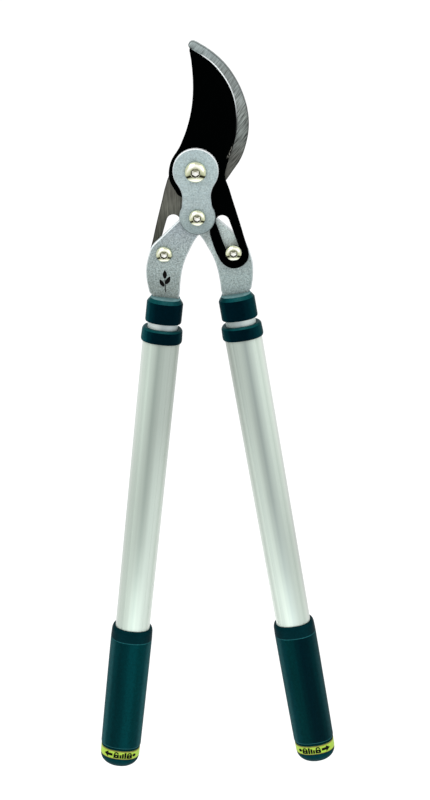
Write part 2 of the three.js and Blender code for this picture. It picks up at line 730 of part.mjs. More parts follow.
function addHandle(side, prefix, yMid) {
  const handle = new THREE.Group();
  const [x, z] = onHandle([0, 0]);
  handle.rotation.y = -side * radians(HANDLE_ANGLE);
  handle.position.set(side * x, yMid, z);
  tool.add(handle);
  for (const [name, build, finish, along = 0] of HANDLE_PARTS)
    addPiece(handle, prefix + name, build(), finish, 0, 0, -along);
}

// ---------------------------------------------------------------- assembly
addLinksAndPivots();
addJaws();
// The right bracket lies in the hook's layer and the left one in the blade's, and each handle is
// centred on its own bracket.
for (const [side, prefix, yBack] of [
  [1, "right_", HOOK_BACK],
  [-1, "left_", BLADE_BACK],
]) {
  addBracket(side, prefix, yBack);
  addSlideBolt(side, prefix);
  addHandle(side, prefix, yBack - JAW_T / 2);
}

export default root;
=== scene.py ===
"""Looks of the compound-action bypass loppers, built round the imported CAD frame.

The loppers stand upright: X runs to the right, Y from front to back and Z up, with the jaws on top.
Lengths are in millimetres from the main pivot, at mid-thickness between the blade and the hook, and
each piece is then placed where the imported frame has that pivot. Handle pieces are drawn in the
handle's own frame, which hangs down from the lower pivot.
"""

import json
import math

import bmesh
import bpy
import numpy as np
from mathutils import Matrix, Vector, geometry


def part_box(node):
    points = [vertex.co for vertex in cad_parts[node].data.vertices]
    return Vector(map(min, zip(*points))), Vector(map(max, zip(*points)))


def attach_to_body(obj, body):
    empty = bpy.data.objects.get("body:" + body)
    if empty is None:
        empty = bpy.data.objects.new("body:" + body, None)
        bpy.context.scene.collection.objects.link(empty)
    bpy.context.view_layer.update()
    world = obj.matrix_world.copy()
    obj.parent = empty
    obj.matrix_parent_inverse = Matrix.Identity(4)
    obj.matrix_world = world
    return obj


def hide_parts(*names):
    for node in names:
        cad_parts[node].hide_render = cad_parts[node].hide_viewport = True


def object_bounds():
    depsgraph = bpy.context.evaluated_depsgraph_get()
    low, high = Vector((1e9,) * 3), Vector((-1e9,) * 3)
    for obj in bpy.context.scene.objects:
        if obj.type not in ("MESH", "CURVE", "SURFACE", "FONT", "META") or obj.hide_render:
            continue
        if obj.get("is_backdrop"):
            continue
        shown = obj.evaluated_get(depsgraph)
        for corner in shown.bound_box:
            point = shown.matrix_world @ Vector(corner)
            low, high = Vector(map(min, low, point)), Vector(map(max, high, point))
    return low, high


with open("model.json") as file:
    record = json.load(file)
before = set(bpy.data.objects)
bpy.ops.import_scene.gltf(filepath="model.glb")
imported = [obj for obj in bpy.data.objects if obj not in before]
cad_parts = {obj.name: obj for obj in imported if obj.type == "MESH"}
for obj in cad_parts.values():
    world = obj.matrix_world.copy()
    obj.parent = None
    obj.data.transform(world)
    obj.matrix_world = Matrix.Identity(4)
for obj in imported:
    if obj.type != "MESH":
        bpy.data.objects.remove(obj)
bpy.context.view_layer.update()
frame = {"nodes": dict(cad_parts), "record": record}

MM = 0.001
BODY = {
    node: body for body, nodes in frame["record"]["behaviour"]["bodies"].items() for node in nodes
}
SIDES = ((1, "right_"), (-1, "left_"))

# ------------------------------------------------------------------ driving dimensions
LOWER_PIVOT_Z = -37.8
SLIDE_BOLT = (28.5, -69.3)
SLOT_TOP = (20.1, -43.4)
SLOT_RADIUS = 5.7
EYE_RADIUS = 9.8
HUB_RADIUS = 25.2
MAIN_BORE = 5.3
SMALL_BORE = 4.3
HANDLE_ANGLE = math.radians(8.0)
HANDLE_OFFSET = 19.2
TUBE_WALL = 1.5
OVAL_POWER = 2.35

# front and back faces of the flat parts
Y_BLADE = (-5.15, -0.15)
Y_HOOK = (0.15, 5.15)
Y_FRONT_LINK = (-9.45, -5.45)
Y_REAR_LINK = (5.45, 12.65)
Y_BRACKET = {1: Y_HOOK, -1: Y_BLADE}
POCKET_FLOOR_Y = 7.45
FASTENER_GAP = 0.3

bolt_low, bolt_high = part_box("main_pivot_bolt")
ORIGIN = Vector((
    (bolt_low.x + bolt_high.x) / 2,
    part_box("rear_link_plate")[1].y - Y_REAR_LINK[1] * MM,
    (bolt_low.z + bolt_high.z) / 2,
))
HEAD_PLACE = Matrix.Translation(ORIGIN)

FRONT, BACK = (0, -1, 0), (0, 1, 0)
UP, DOWN = (0, 0, 1), (0, 0, -1)


# ------------------------------------------------------------------ outlines
def arc(x, z, radius, start, end, steps):
    """Points on a circle from one angle to another, in degrees."""
    angles = [math.radians(start + (end - start) * i / steps) for i in range(steps + 1)]
    return [(x + radius * math.cos(a), z + radius * math.sin(a)) for a in angles]


def circle(x, z, radius, count=72):
    angles = np.arange(count) * 2 * math.pi / count
    return np.stack([x + radius * np.cos(angles), z + radius * np.sin(angles)], 1)


def hexagon(x, z, radius, count=72, phase=0.0):
    """Points at even angles on a hexagon of circumradius radius with a corner at the angle phase."""
    angles = np.arange(count) * 2 * math.pi / count
    from_flat = np.mod(angles - phase, math.pi / 3) - math.pi / 6
    reach = radius * math.cos(math.pi / 6) / np.cos(from_flat)
    return np.stack([x + reach * np.cos(angles), z + reach * np.sin(angles)], 1)


def mirror(points):
    """The outline on the other side of X = 0, in the same turning sense."""
    return [(-x, y) for x, y in reversed(points)]


def densify(loop, step):
    """Splits the sides of a closed loop into parts no shorter than step."""
    points = []
    for i, start in enumerate(loop):
        end = loop[(i + 1) % len(loop)]
        parts = max(1, int(math.dist(start, end) / step))
        points += [
            (start[0] + (end[0] - start[0]) * k / parts, start[1] + (end[1] - start[1]) * k / parts)
            for k in range(parts)
        ]
    return points


def slot_outline(start, end, radius):
    heading = math.degrees(math.atan2(end[1] - start[1], end[0] - start[0]))
    round_start = arc(*start, radius, heading + 90, heading + 270, 26)
    round_end = arc(*end, radius, heading - 90, heading + 90, 26)
    return densify(round_start + round_end, 1.2)


def counterclockwise(rows):
    rows = np.asarray(rows, float)
    x, y = rows[:, 0], rows[:, 1]
    area = float((x * np.roll(y, -1) - np.roll(x, -1) * y).sum() / 2)
    return rows[::-1].copy() if area < 0 else rows


def unit(vectors):
    return vectors / np.maximum(np.linalg.norm(vectors, axis=-1), 1e-12)[..., None]


def smooth(rows, corner, step=0.9, ease=0.14):
    """A fair closed curve through the rows, whose first two columns are the place.

    A point that turns more than corner degrees stays a corner, with one more point at the distance
    ease on each side. Any further columns are interpolated in a straight line.
    """
    rows = np.asarray(rows, float)
    points, extra = rows[:, :2], rows[:, 2:]
    ahead = np.roll(points, -1, 0) - points
    lengths = np.linalg.norm(ahead, axis=1)
    ahead = ahead / lengths[:, None]
    behind, lengths_behind = np.roll(ahead, 1, 0), np.roll(lengths, 1)
    sharp = np.degrees(np.arccos(np.clip((behind * ahead).sum(1), -1, 1))) > corner
    tangents = unit(behind * lengths[:, None] + ahead * lengths_behind[:, None])
    result = []
    for i, length in enumerate(lengths):
        j = (i + 1) % len(points)
        leave = ahead[i] if sharp[i] else tangents[i]
        arrive = ahead[i] if sharp[j] else tangents[j]
        parts = max(1, int(round(length / step)))
        shares = [k / parts for k in range(parts)]
        if sharp[i] and length > 4 * ease:
            shares.append(ease / length)
        if sharp[j] and length > 4 * ease:
            shares.append(1 - ease / length)
        for t in sorted(shares):
            # cubic Hermite weights
            place = (
                (2 * t**3 - 3 * t**2 + 1) * points[i]
                + (t**3 - 2 * t**2 + t) * length * leave
                + (-2 * t**3 + 3 * t**2) * points[j]
                + (t**3 - t**2) * length * arrive
            )
            result.append(np.concatenate([place, extra[i] * (1 - t) + extra[j] * t]))
    return np.array(result)


def inset(points, distance):
    """Moves a closed outline into the material by distance, a number or one for each point."""
    along = unit(np.roll(points, -1, 0) - points)
    normal = np.stack([along[:, 1], -along[:, 0]], 1)
    mitre = unit(np.roll(normal, 1, 0) + normal)
    share = np.maximum((mitre * normal).sum(1), 0.45)
    return points - mitre * (distance / share)[:, None]


def at_y(points, y):
    return np.column_stack([points[:, 0], np.full(len(points), y), points[:, 1]])


# ------------------------------------------------------------------ meshes
def attach(obj, node, replace=True):
    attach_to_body(obj, BODY[node])
    if replace:
        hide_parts(node)


def add_object(name, data, place=None):
    obj = bpy.data.objects.new(name, data)
    bpy.context.scene.collection.objects.link(obj)
    if place is not None:
        obj.matrix_world = place
    return obj


class Shell:
    """A closed mesh of lofts and flat caps, with its own normals on every corner.

    ends are the outward normals of the caps over the first and the last rings.
    """

    def __init__(self, ends=(FRONT, BACK)):
        self.ends = ends
        self.points, self.faces, self.normals, self.materials = [], [], [], []
        self.count = 0
        self.openings = ([], [])

    def loft(self, rings, spans, closed=False):
        """Joins rings in order. Each span is (shading, material), F flat along the profile and
        R round between its neighbours. The material is one index or one for each point."""
        rings = np.asarray(rings, float)
        ring_count, size = rings.shape[:2]
        span_count = ring_count if closed else ring_count - 1
        base = self.count
        self.points.append(rings.reshape(-1, 3))
        self.count += ring_count * size
        around = np.roll(rings, -1, 1) - np.roll(rings, 1, 1)
        along = np.roll(rings, -1, 0) - rings
        normals = unit(np.cross(along, around + np.roll(around, -1, 0)))

        def meeting(span, beside, end):
            """Normals where a round span meets the one beside it, or the cap at an end."""
            if not closed and not 0 <= beside < span_count:
                return np.broadcast_to(np.asarray(end, float), (size, 3))
            beside %= span_count
            if spans[beside][0] == "R":
                return unit(normals[beside] + normals[span])
            return normals[beside]

        for k in range(span_count):
            shading, material = spans[k]
            first = last = normals[k]
            if shading == "R":
                first = meeting(k, k - 1, self.ends[0])
                last = meeting(k, k + 1, self.ends[1])
            here = base + k * size
            there = base + (k + 1) % ring_count * size
            for i in range(size):
                j = (i + 1) % size
                self.faces.append((here + i, there + i, there + j, here + j))
                self.normals.extend((first[i], last[i], last[j], first[j]))
            self.materials.extend(np.broadcast_to(material, size))
        if not closed:
            self.openings[0].append((base, rings[0]))
            self.openings[1].append((base + span_count * size, rings[-1]))

    def close(self, first=0, last=0):
        """Caps both ends with the given materials. Lofts after the first one are holes."""
        for loops, normal, forward, material in zip(
            self.openings, self.ends, (True, False), (first, last)
        ):
            ids = [start + i for start, ring in loops for i in range(len(ring))]
            if len(loops) == 1:
                faces = [tuple(ids if forward else reversed(ids))]
            else:
                faces = [
                    tuple(ids[i] for i in triangle)
                    for triangle in self.triangles(loops, normal, forward)
                ]
            for face in faces:
                self.faces.append(face)
                self.normals.extend([normal] * len(face))
                self.materials.append(material)

    @staticmethod
    def triangles(loops, normal, forward):
        across, up = (axis for axis in range(3) if not normal[axis])
        flat = [[Vector((p[across], p[up], 0)) for p in ring] for _, ring in loops]
        corners = [p for ring in flat for p in ring]
        for triangle in geometry.tessellate_polygon(flat):
            a, b, c = (corners[i] for i in triangle)
            turn = (b.x - a.x) * (c.y - a.y) - (c.x - a.x) * (b.y - a.y)
            yield triangle if (turn > 0) == forward else (triangle[0], triangle[2], triangle[1])

    def build(self, node, slot, materials, place=HEAD_PLACE):
        mesh = bpy.data.meshes.new(node + "_skin")
        mesh.from_pydata((np.concatenate(self.points) * MM).tolist(), [], self.faces)
        for material in materials:
            mesh.materials.append(material)
        mesh.polygons.foreach_set("material_index", np.array(self.materials, np.int32))
        mesh.polygons.foreach_set("use_smooth", np.ones(len(self.faces), bool))
        mesh.update()
        mesh.normals_split_custom_set([tuple(map(float, normal)) for normal in self.normals])
        attach(add_object(node + "_skin", mesh, place), node)


# ------------------------------------------------------------------ material helpers
def srgb(*parts):
    """Linear colour from red, green and blue in 0 to 255."""
    scaled = [part / 255.0 for part in parts]
    linear = [c / 12.92 if c <= 0.04045 else ((c + 0.055) / 1.055) ** 2.4 for c in scaled]
    return (*linear, 1.0)


def stop_colour(parts):
    """The colour of a ramp stop: one linear grey, three sRGB parts or four linear parts."""
    if len(parts) == 1:
        return (parts[0], parts[0], parts[0], 1)
    return srgb(*parts) if len(parts) == 3 else tuple(parts)


def arithmetic(operation, swapped=False):
    """A method of Signal that adds one Math node."""

    def method(self, other=0.0):
        pair = (other, self) if swapped else (self, other)
        return self.shader.value("ShaderNodeMath", dict(enumerate(pair)), operation=operation)

    return method


class Signal:
    """A node's output, so that shader arithmetic reads as plain arithmetic."""

    def __init__(self, shader, socket):
        self.shader, self.socket = shader, socket

    __add__ = arithmetic("ADD")
    __sub__ = arithmetic("SUBTRACT")
    __mul__ = arithmetic("MULTIPLY")
    __truediv__ = arithmetic("DIVIDE")
    __pow__ = arithmetic("POWER")
    __rpow__ = arithmetic("POWER", swapped=True)
    __abs__ = arithmetic("ABSOLUTE")
    maximum = arithmetic("MAXIMUM")
    arctan2 = arithmetic("ARCTAN2")

    def remap(self, source, to=(0.0, 1.0)):
        """Carries the range source to the range to, clamped."""
        inputs = dict(enumerate((self, *source, *to)))
        return self.shader.value("ShaderNodeMapRange", inputs)

    def spread(self, low, high):
        """Remaps the range in which most of a noise lies."""
        return self.remap((0.3, 0.7), to=(low, high))

    def ramp(self, stops, low=0.0, high=1.0, blend="LINEAR"):
        """Colour ramp. stops are (place between low and high, colour parts)."""
        node = self.shader.node("ShaderNodeValToRGB", {0: self})
        node.color_ramp.interpolation = blend
        elements = node.color_ramp.elements
        while len(elements) > 1:
            elements.remove(elements[-1])
        for i, (place, *parts) in enumerate(stops):
            position = (place - low) / (high - low)
            element = elements.new(position) if i else elements[0]
            element.position = position
            element.color = stop_colour(parts)
        return Signal(self.shader, node.outputs[0])

    def mix(self, other, amount, blend="MIX"):
        inputs = {0: amount, 6: self, 7: other}
        return self.shader.value(
            "ShaderNodeMix", inputs, output=2, data_type="RGBA", blend_type=blend
        )

    def scaled(self, factor):
        """The colour times a factor."""
        inputs = {0: self, "Scale": factor}
        return self.shader.value("ShaderNodeVectorMath", inputs, operation="SCALE")


class Shader:
    """A material with one Principled surface. The flat values also serve the solid view."""

    def __init__(self, name, colour, rough=0.5, metal=0.0, specular=0.5):
        self.material = bpy.data.materials.new(name)
        self.material.use_nodes = True
        self.tree = self.material.node_tree
        self.tree.nodes.clear()
        output = self.node("ShaderNodeOutputMaterial")
        self.surface = self.node("ShaderNodeBsdfPrincipled")
        self.tree.links.new(self.surface.outputs[0], output.inputs[0])
        self.set("Base Color", colour)
        self.set("Roughness", rough)
        self.set("Metallic", metal)
        self.set("Specular IOR Level", specular)
        self.coordinates = self.node("ShaderNodeTexCoord").outputs
        self.material.diffuse_color = colour
        self.material.metallic = metal
        self.material.roughness = rough

    def node(self, kind, inputs=None, **properties):
        node = self.tree.nodes.new(kind)
        for key, value in properties.items():
            setattr(node, key, value)
        for key, value in (inputs or {}).items():
            self.plug(node.inputs[key], value)
        return node

    def plug(self, socket, value):
        if isinstance(value, Signal):
            self.tree.links.new(value.socket, socket)
        else:
            socket.default_value = value

    def value(self, kind, inputs, output=0, **properties):
        return Signal(self, self.node(kind, inputs, **properties).outputs[output])

    def set(self, key, value):
        self.plug(self.surface.inputs[key], value)

    def axes(self, space="Object"):
        """X, Y and Z of the place (in metres) or, with Normal, of the outward direction."""
        source = Signal(self, self.coordinates[space])
        node = self.node("ShaderNodeSeparateXYZ", {0: source})
        return [Signal(self, socket) for socket in node.outputs]

    def mapped(self, stretch=(1, 1, 1), turn=(0, 0, 0)):
        source = Signal(self, self.coordinates["Object"])
        inputs = {"Vector": source, "Scale": stretch, "Rotation": turn}
        return self.value("ShaderNodeMapping", inputs)

    def noise(self, scale=1.0, detail=3.0, rough=0.55, vector=None, **mapping):
        inputs = {
            "Vector": vector or self.mapped(**mapping),
            "Scale": scale,
            "Detail": detail,
            "Roughness": rough,
        }
        return self.value("ShaderNodeTexNoise", inputs)

    def voronoi(self, scale):
        return self.value("ShaderNodeTexVoronoi", {"Vector": self.mapped(), "Scale": scale})

    def finish(self, colour, rough=None, relief=None, depth=0.0, strength=0.0):
        """Plugs in the surface. relief is raised as bumps of depth metres."""
        self.set("Base Color", colour)
        if rough is not None:
            self.set("Roughness", rough)
        if relief is not None:
            inputs = {"Height": relief, "Distance": depth, "Strength": strength}
            self.set("Normal", self.value("ShaderNodeBump", inputs))
        return self.material


# ------------------------------------------------------------------ paint
def hammered_paint(name, stops, rim=False, painted_light_by_slide_bolts=False, grit=1.0):
    """Silver-grey hammered paint: fine grain and a soft orange peel.

    stops are (mm above the main pivot, red, green, blue): painted light and shade by height. grit
    scales the grain's contrast.
    """
    shader = Shader(name, stop_colour(stops[-1][1:]), rough=0.45, metal=0.25, specular=0.3)
    x, _, z = shader.axes()
    # painted light and shade: the stops make the paint lighter higher up
    base = z.remap((-0.11, 0.02)).ramp(stops, low=-110, high=20)
    grain = shader.noise(scale=760.0, rough=0.75)
    speck = shader.voronoi(800.0)
    cloud = shader.noise(scale=240.0, rough=0.6)
    broad = shader.noise(scale=60.0, detail=2.0, rough=0.5)
    soft = 0.5 if rim else 1.0
    fine = soft * grit
    tone = grain.remap((0.34, 0.66), to=(-0.24 * fine, 0.22 * fine))
    tone = tone + cloud.spread(-0.08 * soft, 0.08 * soft)
    tone = tone + speck.remap((0.1, 0.7), to=(-0.09 * fine, 0.09 * fine))
    tone = tone + broad.spread(-0.035, 0.035) + 1.0
    bluish = base.mix((0.82, 0.92, 1.0, 1), 0.3, "MULTIPLY")
    patches = shader.noise(scale=420.0, detail=2.0).remap((0.4, 0.65))
    colour = base.mix(bluish, patches)
    if rim:
        # painted light and shade: the rounded rim is lighter where it faces up and darker where it
        # faces down
        upward = shader.axes("Normal")[2].remap((-0.35, 0.55))
        tone = tone * upward.remap((0.0, 1.0), to=(0.55, 1.0))
    if painted_light_by_slide_bolts:
        # painted light: the paint is brighter round the slide bolts, where the arms shade the bracket
        off_x = abs(abs(x) - 0.0215)
        off_z = abs(z + 0.056)
        zone = off_x.remap((0.009, 0.016), to=(1.0, 0.0)) * off_z.remap((0.014, 0.024), to=(1.0, 0.0))
        tone = tone * zone.remap((0.0, 1.0), to=(1.0, 1.5))
    return shader.finish(
        colour.scaled(tone),
        rough=cloud.spread(0.4, 0.56),
        relief=grain * 0.5 + cloud,
        depth=0.00006,
        strength=0.1 if rim else 0.22,
    )


# three copies of one paint, each with its own painted light and shade by height: the front link
# plate, then the rear plate and left bracket, then the right bracket
PAINT_LINK = hammered_paint("hammered_paint_link", [
    (-53, 124, 138, 138), (-47, 130, 144, 144), (-40, 141, 155, 154),
    (-30, 152, 165, 165), (0, 160, 175, 175), (18, 158, 173, 174),
])
PAINT = hammered_paint("hammered_paint", [
    (-105, 121, 131, 127), (-92, 127, 138, 135), (-80, 142, 154, 152),
    (-66, 143, 154, 153), (-50, 140, 150, 153), (0, 140, 150, 153),
], grit=1.8)
# the right bracket's paint is a lighter copy, with painted light round the slide bolts
PAINT_RIGHT = hammered_paint("hammered_paint_right", [
    (-105, 130, 143, 141), (-92, 140, 154, 152), (-80, 146, 159, 157),
    (-60, 154, 165, 162), (0, 152, 163, 160),
], painted_light_by_slide_bolts=True, grit=1.6)
# painted highlight on the rounded rims of the plates, with painted shade low down on the link plate's
# rim
PAINT_RIM_HIGHLIGHT = hammered_paint("hammered_paint_edge_highlight", [
    (-105, 196, 206, 206), (-60, 240, 246, 246), (-35, 226, 234, 234), (0, 250, 252, 252),
], rim=True)
PAINT_LINK_RIM_LIGHT_AND_SHADE = hammered_paint("hammered_paint_link_edge_light_and_shade", [
    (-53, 84, 98, 96), (-46, 104, 119, 118), (-38, 150, 164, 164), (-24, 176, 188, 189),
    (-6, 206, 215, 216), (8, 240, 246, 246), (18, 250, 252, 252),
], rim=True)


# ------------------------------------------------------------------ blade and hook steel
def black_coating():
    """Dull black coating with faint drag marks and a few bright chips beside the hub."""
    shader = Shader("black_coating", srgb(1, 1, 1), rough=0.5, specular=0.004)
    x, _, z = shader.axes()
    fine = shader.noise(scale=700.0, rough=0.6)
    drag = shader.noise(scale=3.0, detail=4.0, rough=0.7, stretch=(60, 60, 900), turn=(0, 0.9, 0))
    colour = drag.ramp([(0.0, 0, 0, 0), (0.62, 0, 1, 1), (0.8, 5, 6, 6), (1.0, 12, 13, 13)])
    # chips along the edge just above the hub, on the right
    off_line = abs((x - 0.0283) - (z - 0.0135) * 0.5)
    near_line = off_line.remap((0.0006, 0.0016), to=(1.0, 0.0))
    near = near_line * abs(z - 0.0145).remap((0.003, 0.0062), to=(1.0, 0.0))
    chips = near * shader.noise(scale=1150.0, detail=2.0, rough=0.6).remap((0.5, 0.57))
    return shader.finish(
        colour.mix(srgb(138, 138, 130), chips),
        rough=fine.spread(0.42, 0.6),
        relief=fine,
        depth=0.00003,
        strength=0.15,
    )


def whetted_edge():
    """The whetted edge: bright steel with fine strokes, fading to black towards the hub."""
    shader = Shader("whetted_edge", srgb(230, 234, 234), rough=0.28, metal=1.0)
    z = shader.axes()[2]
    strokes = shader.noise(rough=0.7, stretch=(500, 500, 2600))
    fade = z.remap((0.0, 0.098)).ramp([
        (0.0, 0, 0, 0), (0.28, 0, 0, 0), (0.4, 70, 72, 72),
        (0.55, 205, 211, 211), (1.0, 226, 231, 231),
    ])
    darker = fade.mix((0.7, 0.7, 0.7, 1), 1.0, "MULTIPLY")
    return shader.finish(
        fade.mix(darker, strokes.remap((0.45, 0.75))),
        rough=strokes.spread(0.22, 0.4),
        relief=strokes,
        depth=0.00002,
        strength=0.4,
    )


def ground_steel(name, rim):
    """Bare ground steel. Strokes run slantwise across the jaw and lengthwise along the arm."""
    shader = Shader(name, srgb(150, 156, 154), rough=0.36, metal=0.8)
    x, _, z = shader.axes()
    # bearing from the middle of the jaw's curve
    jaw_x, jaw_z = -0.012, 0.042
    bearing = (z - jaw_z).arctan2(x - jaw_x)
    # strokes lean 38 degrees from upright
    lean = math.radians(38)
    across = x * math.cos(lean) - z * math.sin(lean)
    along = x * math.sin(lean) + z * math.cos(lean)

    def slanted(across_scale, along_scale):
        inputs = {0: across * across_scale, 1: along * along_scale}
        return shader.value("ShaderNodeCombineXYZ", inputs)

    jaw = shader.noise(detail=1.0, rough=0.5, vector=slanted(1350.0, 100.0))
    patch = shader.noise(detail=2.0, rough=0.6, vector=slanted(180.0, 60.0))
    arm = shader.noise(rough=0.75, stretch=(900, 300, 26), turn=(0, math.radians(-13), 0))
    is_arm = z.remap((0.004, -0.006))

    def jaw_or_arm(on_jaw, on_arm):
        inputs = {0: is_arm, 2: on_jaw, 3: on_arm}
        return shader.value("ShaderNodeMix", inputs, data_type="FLOAT")

    lines = jaw_or_arm(jaw, arm)
    # painted reflection and shade: the steel is lighter higher up, and darker and browner lower down
    base = z.remap((-0.09, 0.1)).ramp([
        (0.0, 66, 66, 60), (0.23, 70, 71, 63), (0.316, 97, 98, 90), (0.37, 86, 86, 79),
        (0.53, 87, 89, 85), (0.62, 106, 112, 109), (0.716, 124, 130, 127), (0.8, 124, 131, 130),
        (0.884, 130, 137, 135), (0.95, 142, 152, 152), (1.0, 156, 168, 167),
    ])
    # painted shade: the rim is half as bright
    if rim:
        base = base.scaled(0.5)
    contrast = jaw_or_arm(
        bearing.remap((0.6, 0.3), to=(2.2, 3.6)), z.remap((-0.02, -0.04), to=(2.9, 3.6))
    )
    tone = ((lines - 0.5) * contrast + 1.0).maximum(0.25) * patch.spread(0.88, 1.1)
    return shader.finish(
        base.scaled(tone),
        rough=lines.spread(0.3, 0.46),
        relief=lines,
        depth=0.00004,
        strength=0.35,
    )


BLADE = black_coating()
EDGE = whetted_edge()
HOOK = ground_steel("ground_steel", rim=False)
HOOK_RIM_SHADE = ground_steel("ground_steel_edge_shade", rim=True)


# ------------------------------------------------------------------ fastener metals
def bright_nickel():
    """Bright nickel plating with a warm cast. The tone over the facing direction is a painted
    reflection of studio cards: a dark line below the middle of each dome that droops to both sides, a
    white card above it and a soft edge all round."""
    shader = Shader("bright_nickel", srgb(232, 230, 208), rough=0.16, metal=0.95)
    wavy = shader.noise(scale=160.0, detail=2.0, rough=0.5)
    fine = shader.noise(scale=1500.0, detail=2.0, rough=0.5)
    normal_x, _, normal_z = shader.axes("Normal")
    tilt_squared = normal_x * normal_x + normal_z * normal_z
    tilt = tilt_squared**0.5
    above_line = normal_z + abs(normal_x) * 0.5 + 0.03
    line_width = tilt_squared * 0.08 + 0.07
    line = (abs(above_line) / line_width).remap((0.5, 1.2), to=(1.0, 0.0))
    around = tilt.ramp([
        (0.0, 222, 221, 200), (0.2, 255, 255, 250), (0.42, 255, 255, 246), (0.53, 214, 217, 184),
        (0.68, 194, 199, 168), (0.85, 212, 219, 196), (1.0, 204, 212, 196),
    ])
    card = above_line.ramp([
        (0.04, 128, 131, 98), (0.1, 166, 170, 136), (0.22, 196, 200, 168),
        (0.32, 232, 233, 210), (0.42, 255, 255, 250),
    ])
    upper = around.mix(card, tilt.remap((0.03, 0.09)), "DARKEN")
    lower = (above_line * -1.0).ramp([
        (0.02, 120, 122, 92), (0.1, 166, 170, 140), (0.17, 206, 209, 182), (0.26, 246, 248, 228),
        (0.44, 252, 254, 238), (0.6, 214, 218, 198), (0.9, 150, 156, 142),
    ])
    colour = lower.mix(upper, above_line.remap((-0.02, 0.02)))
    colour = colour.mix(srgb(26, 26, 10), line * tilt.remap((0.05, 0.12)))
    return shader.finish(
        colour, rough=fine.spread(0.1, 0.2), relief=wavy, depth=0.0001, strength=0.06
    )


def socket_shadow():
    """Wall and lip of the hexagon socket: painted shadow, with painted light along the top."""
    shader = Shader("socket_shadow", srgb(60, 58, 34), rough=0.5, metal=0.2, specular=0.1)
    fine = shader.noise(scale=1200.0, detail=2.0)
    dark = fine.ramp([(0.3, 36, 36, 20), (0.7, 62, 62, 40)])
    # painted light on the top wall, which faces down
    downward = shader.axes("Normal")[2].remap((-0.2, -0.7), to=(0.0, 0.6))
    colour = dark.mix(srgb(186, 187, 160), downward)
    return shader.finish(colour, relief=fine, depth=0.00003, strength=0.3)


def socket_floor():
    """Shallow cone at the bottom of the socket: painted light below and painted shade above."""
    shader = Shader("socket_floor", srgb(232, 230, 208), rough=0.3, metal=0.6)
    fine = shader.noise(scale=900.0, detail=2.0)
    tone = shader.axes("Normal")[2].remap((-0.3, 0.3)).ramp([
        (0.0, 128, 128, 104), (0.38, 176, 176, 152), (0.62, 255, 255, 246), (1.0, 255, 255, 250),
    ])
    colour = tone.scaled(fine.spread(0.9, 1.08))
    return shader.finish(colour, relief=fine, depth=0.00003, strength=0.3)


NICKEL = bright_nickel()
FASTENER = [NICKEL, socket_shadow(), socket_floor()]


# ------------------------------------------------------------------ handle materials
def painted_light_bands(x, bands, half, waver):
    """Soft bands of painted reflection and shade along the handle. bands are (mm across it, red,
    green, blue).
    """
    across = x.remap((-half * MM, half * MM)) + waver
    return across.ramp(bands, low=-half, high=half, blend="EASE")


def aluminium(name, bands, tones=None):
    """Drawn aluminium: soft lengthwise bands of painted reflection and fine die lines. tones are
    painted light and shade, (mm down the handle, brightness on the -X side, in the middle, on the +X
    side)."""
    shader = Shader(name, srgb(200, 214, 203), rough=0.4, metal=0.3, specular=0.3)
    x, _, z = shader.axes()
    lines = shader.noise(rough=0.7, stretch=(900, 900, 2.2))
    soft = shader.noise(detail=2.0, rough=0.6, stretch=(90, 90, 1.2))
    colour = painted_light_bands(x, bands, 16.0, soft.spread(-0.02, 0.02))
    tone = lines.spread(0.955, 1.045)
    if tones:
        # painted light and shade down the handle: the ramps hold half the brightness, which the last
        # factor makes up for
        along = (z * -1.0).remap((0.1, 0.4))
        minus, middle, plus = (
            along.ramp([(row[0], row[column] / 2) for row in tones], low=100.0, high=400.0)
            for column in (1, 2, 3)
        )
        in_middle = 2.718 ** ((abs(x) * (1 / 0.0052)) ** 2.0 * -1.0)
        sides = minus.mix(plus, x.remap((-0.004, 0.004)))
        colour = colour.mix(sides.mix(middle, in_middle), 1.0, "MULTIPLY")
        tone = tone * 2.0
    return shader.finish(
        colour.scaled(tone),
        rough=lines.spread(0.34, 0.46),
        relief=lines,
        depth=0.00003,
        strength=0.12,
    )


# one tube finish for each handle, each with its own painted reflection and shade
ALUMINIUM = {
    -1: aluminium(
        "drawn_aluminium_left",
        [
            (-15, 206, 215, 208), (-12.5, 194, 206, 196), (-10.5, 188, 201, 191),
            (-8.5, 194, 208, 197), (-5, 186, 199, 189), (-1, 172, 186, 177), (2, 182, 195, 186),
            (5.5, 196, 209, 200), (11, 196, 208, 199), (13.5, 188, 200, 190), (15, 204, 213, 205),
        ],
        [
            (111, 0.62, 0.5, 0.5), (113.5, 0.9, 0.64, 0.63), (150, 0.92, 0.64, 0.65),
            (185, 0.88, 0.62, 0.67), (225, 0.82, 0.65, 0.79), (265, 0.78, 0.71, 0.88),
            (305, 0.79, 0.84, 0.91), (335, 0.82, 1.07, 0.94), (362, 0.85, 1.37, 0.97),
            (392, 0.85, 1.58, 0.99),
        ],
    ),
    1: aluminium(
        "drawn_aluminium_right",
        [
            (-15, 208, 216, 209), (-12.5, 189, 200, 191), (-10, 201, 214, 204),
            (-8, 194, 207, 198), (-5, 200, 213, 203), (-2, 186, 199, 191), (1, 172, 185, 179),
            (5, 187, 200, 192), (9, 201, 214, 204), (11, 192, 205, 195), (14, 208, 219, 209),
            (15, 208, 216, 209),
        ],
        [
            (111, 0.5, 0.5, 0.62), (113.5, 0.62, 0.65, 0.92), (150, 0.65, 0.65, 0.92),
            (185, 0.73, 0.62, 0.89), (225, 0.82, 0.64, 0.84), (265, 0.88, 0.69, 0.79),
            (305, 0.94, 0.83, 0.72), (335, 1.0, 0.99, 0.72), (362, 1.07, 1.24, 0.77),
            (392, 1.09, 1.46, 0.82),
        ],
    ),
}
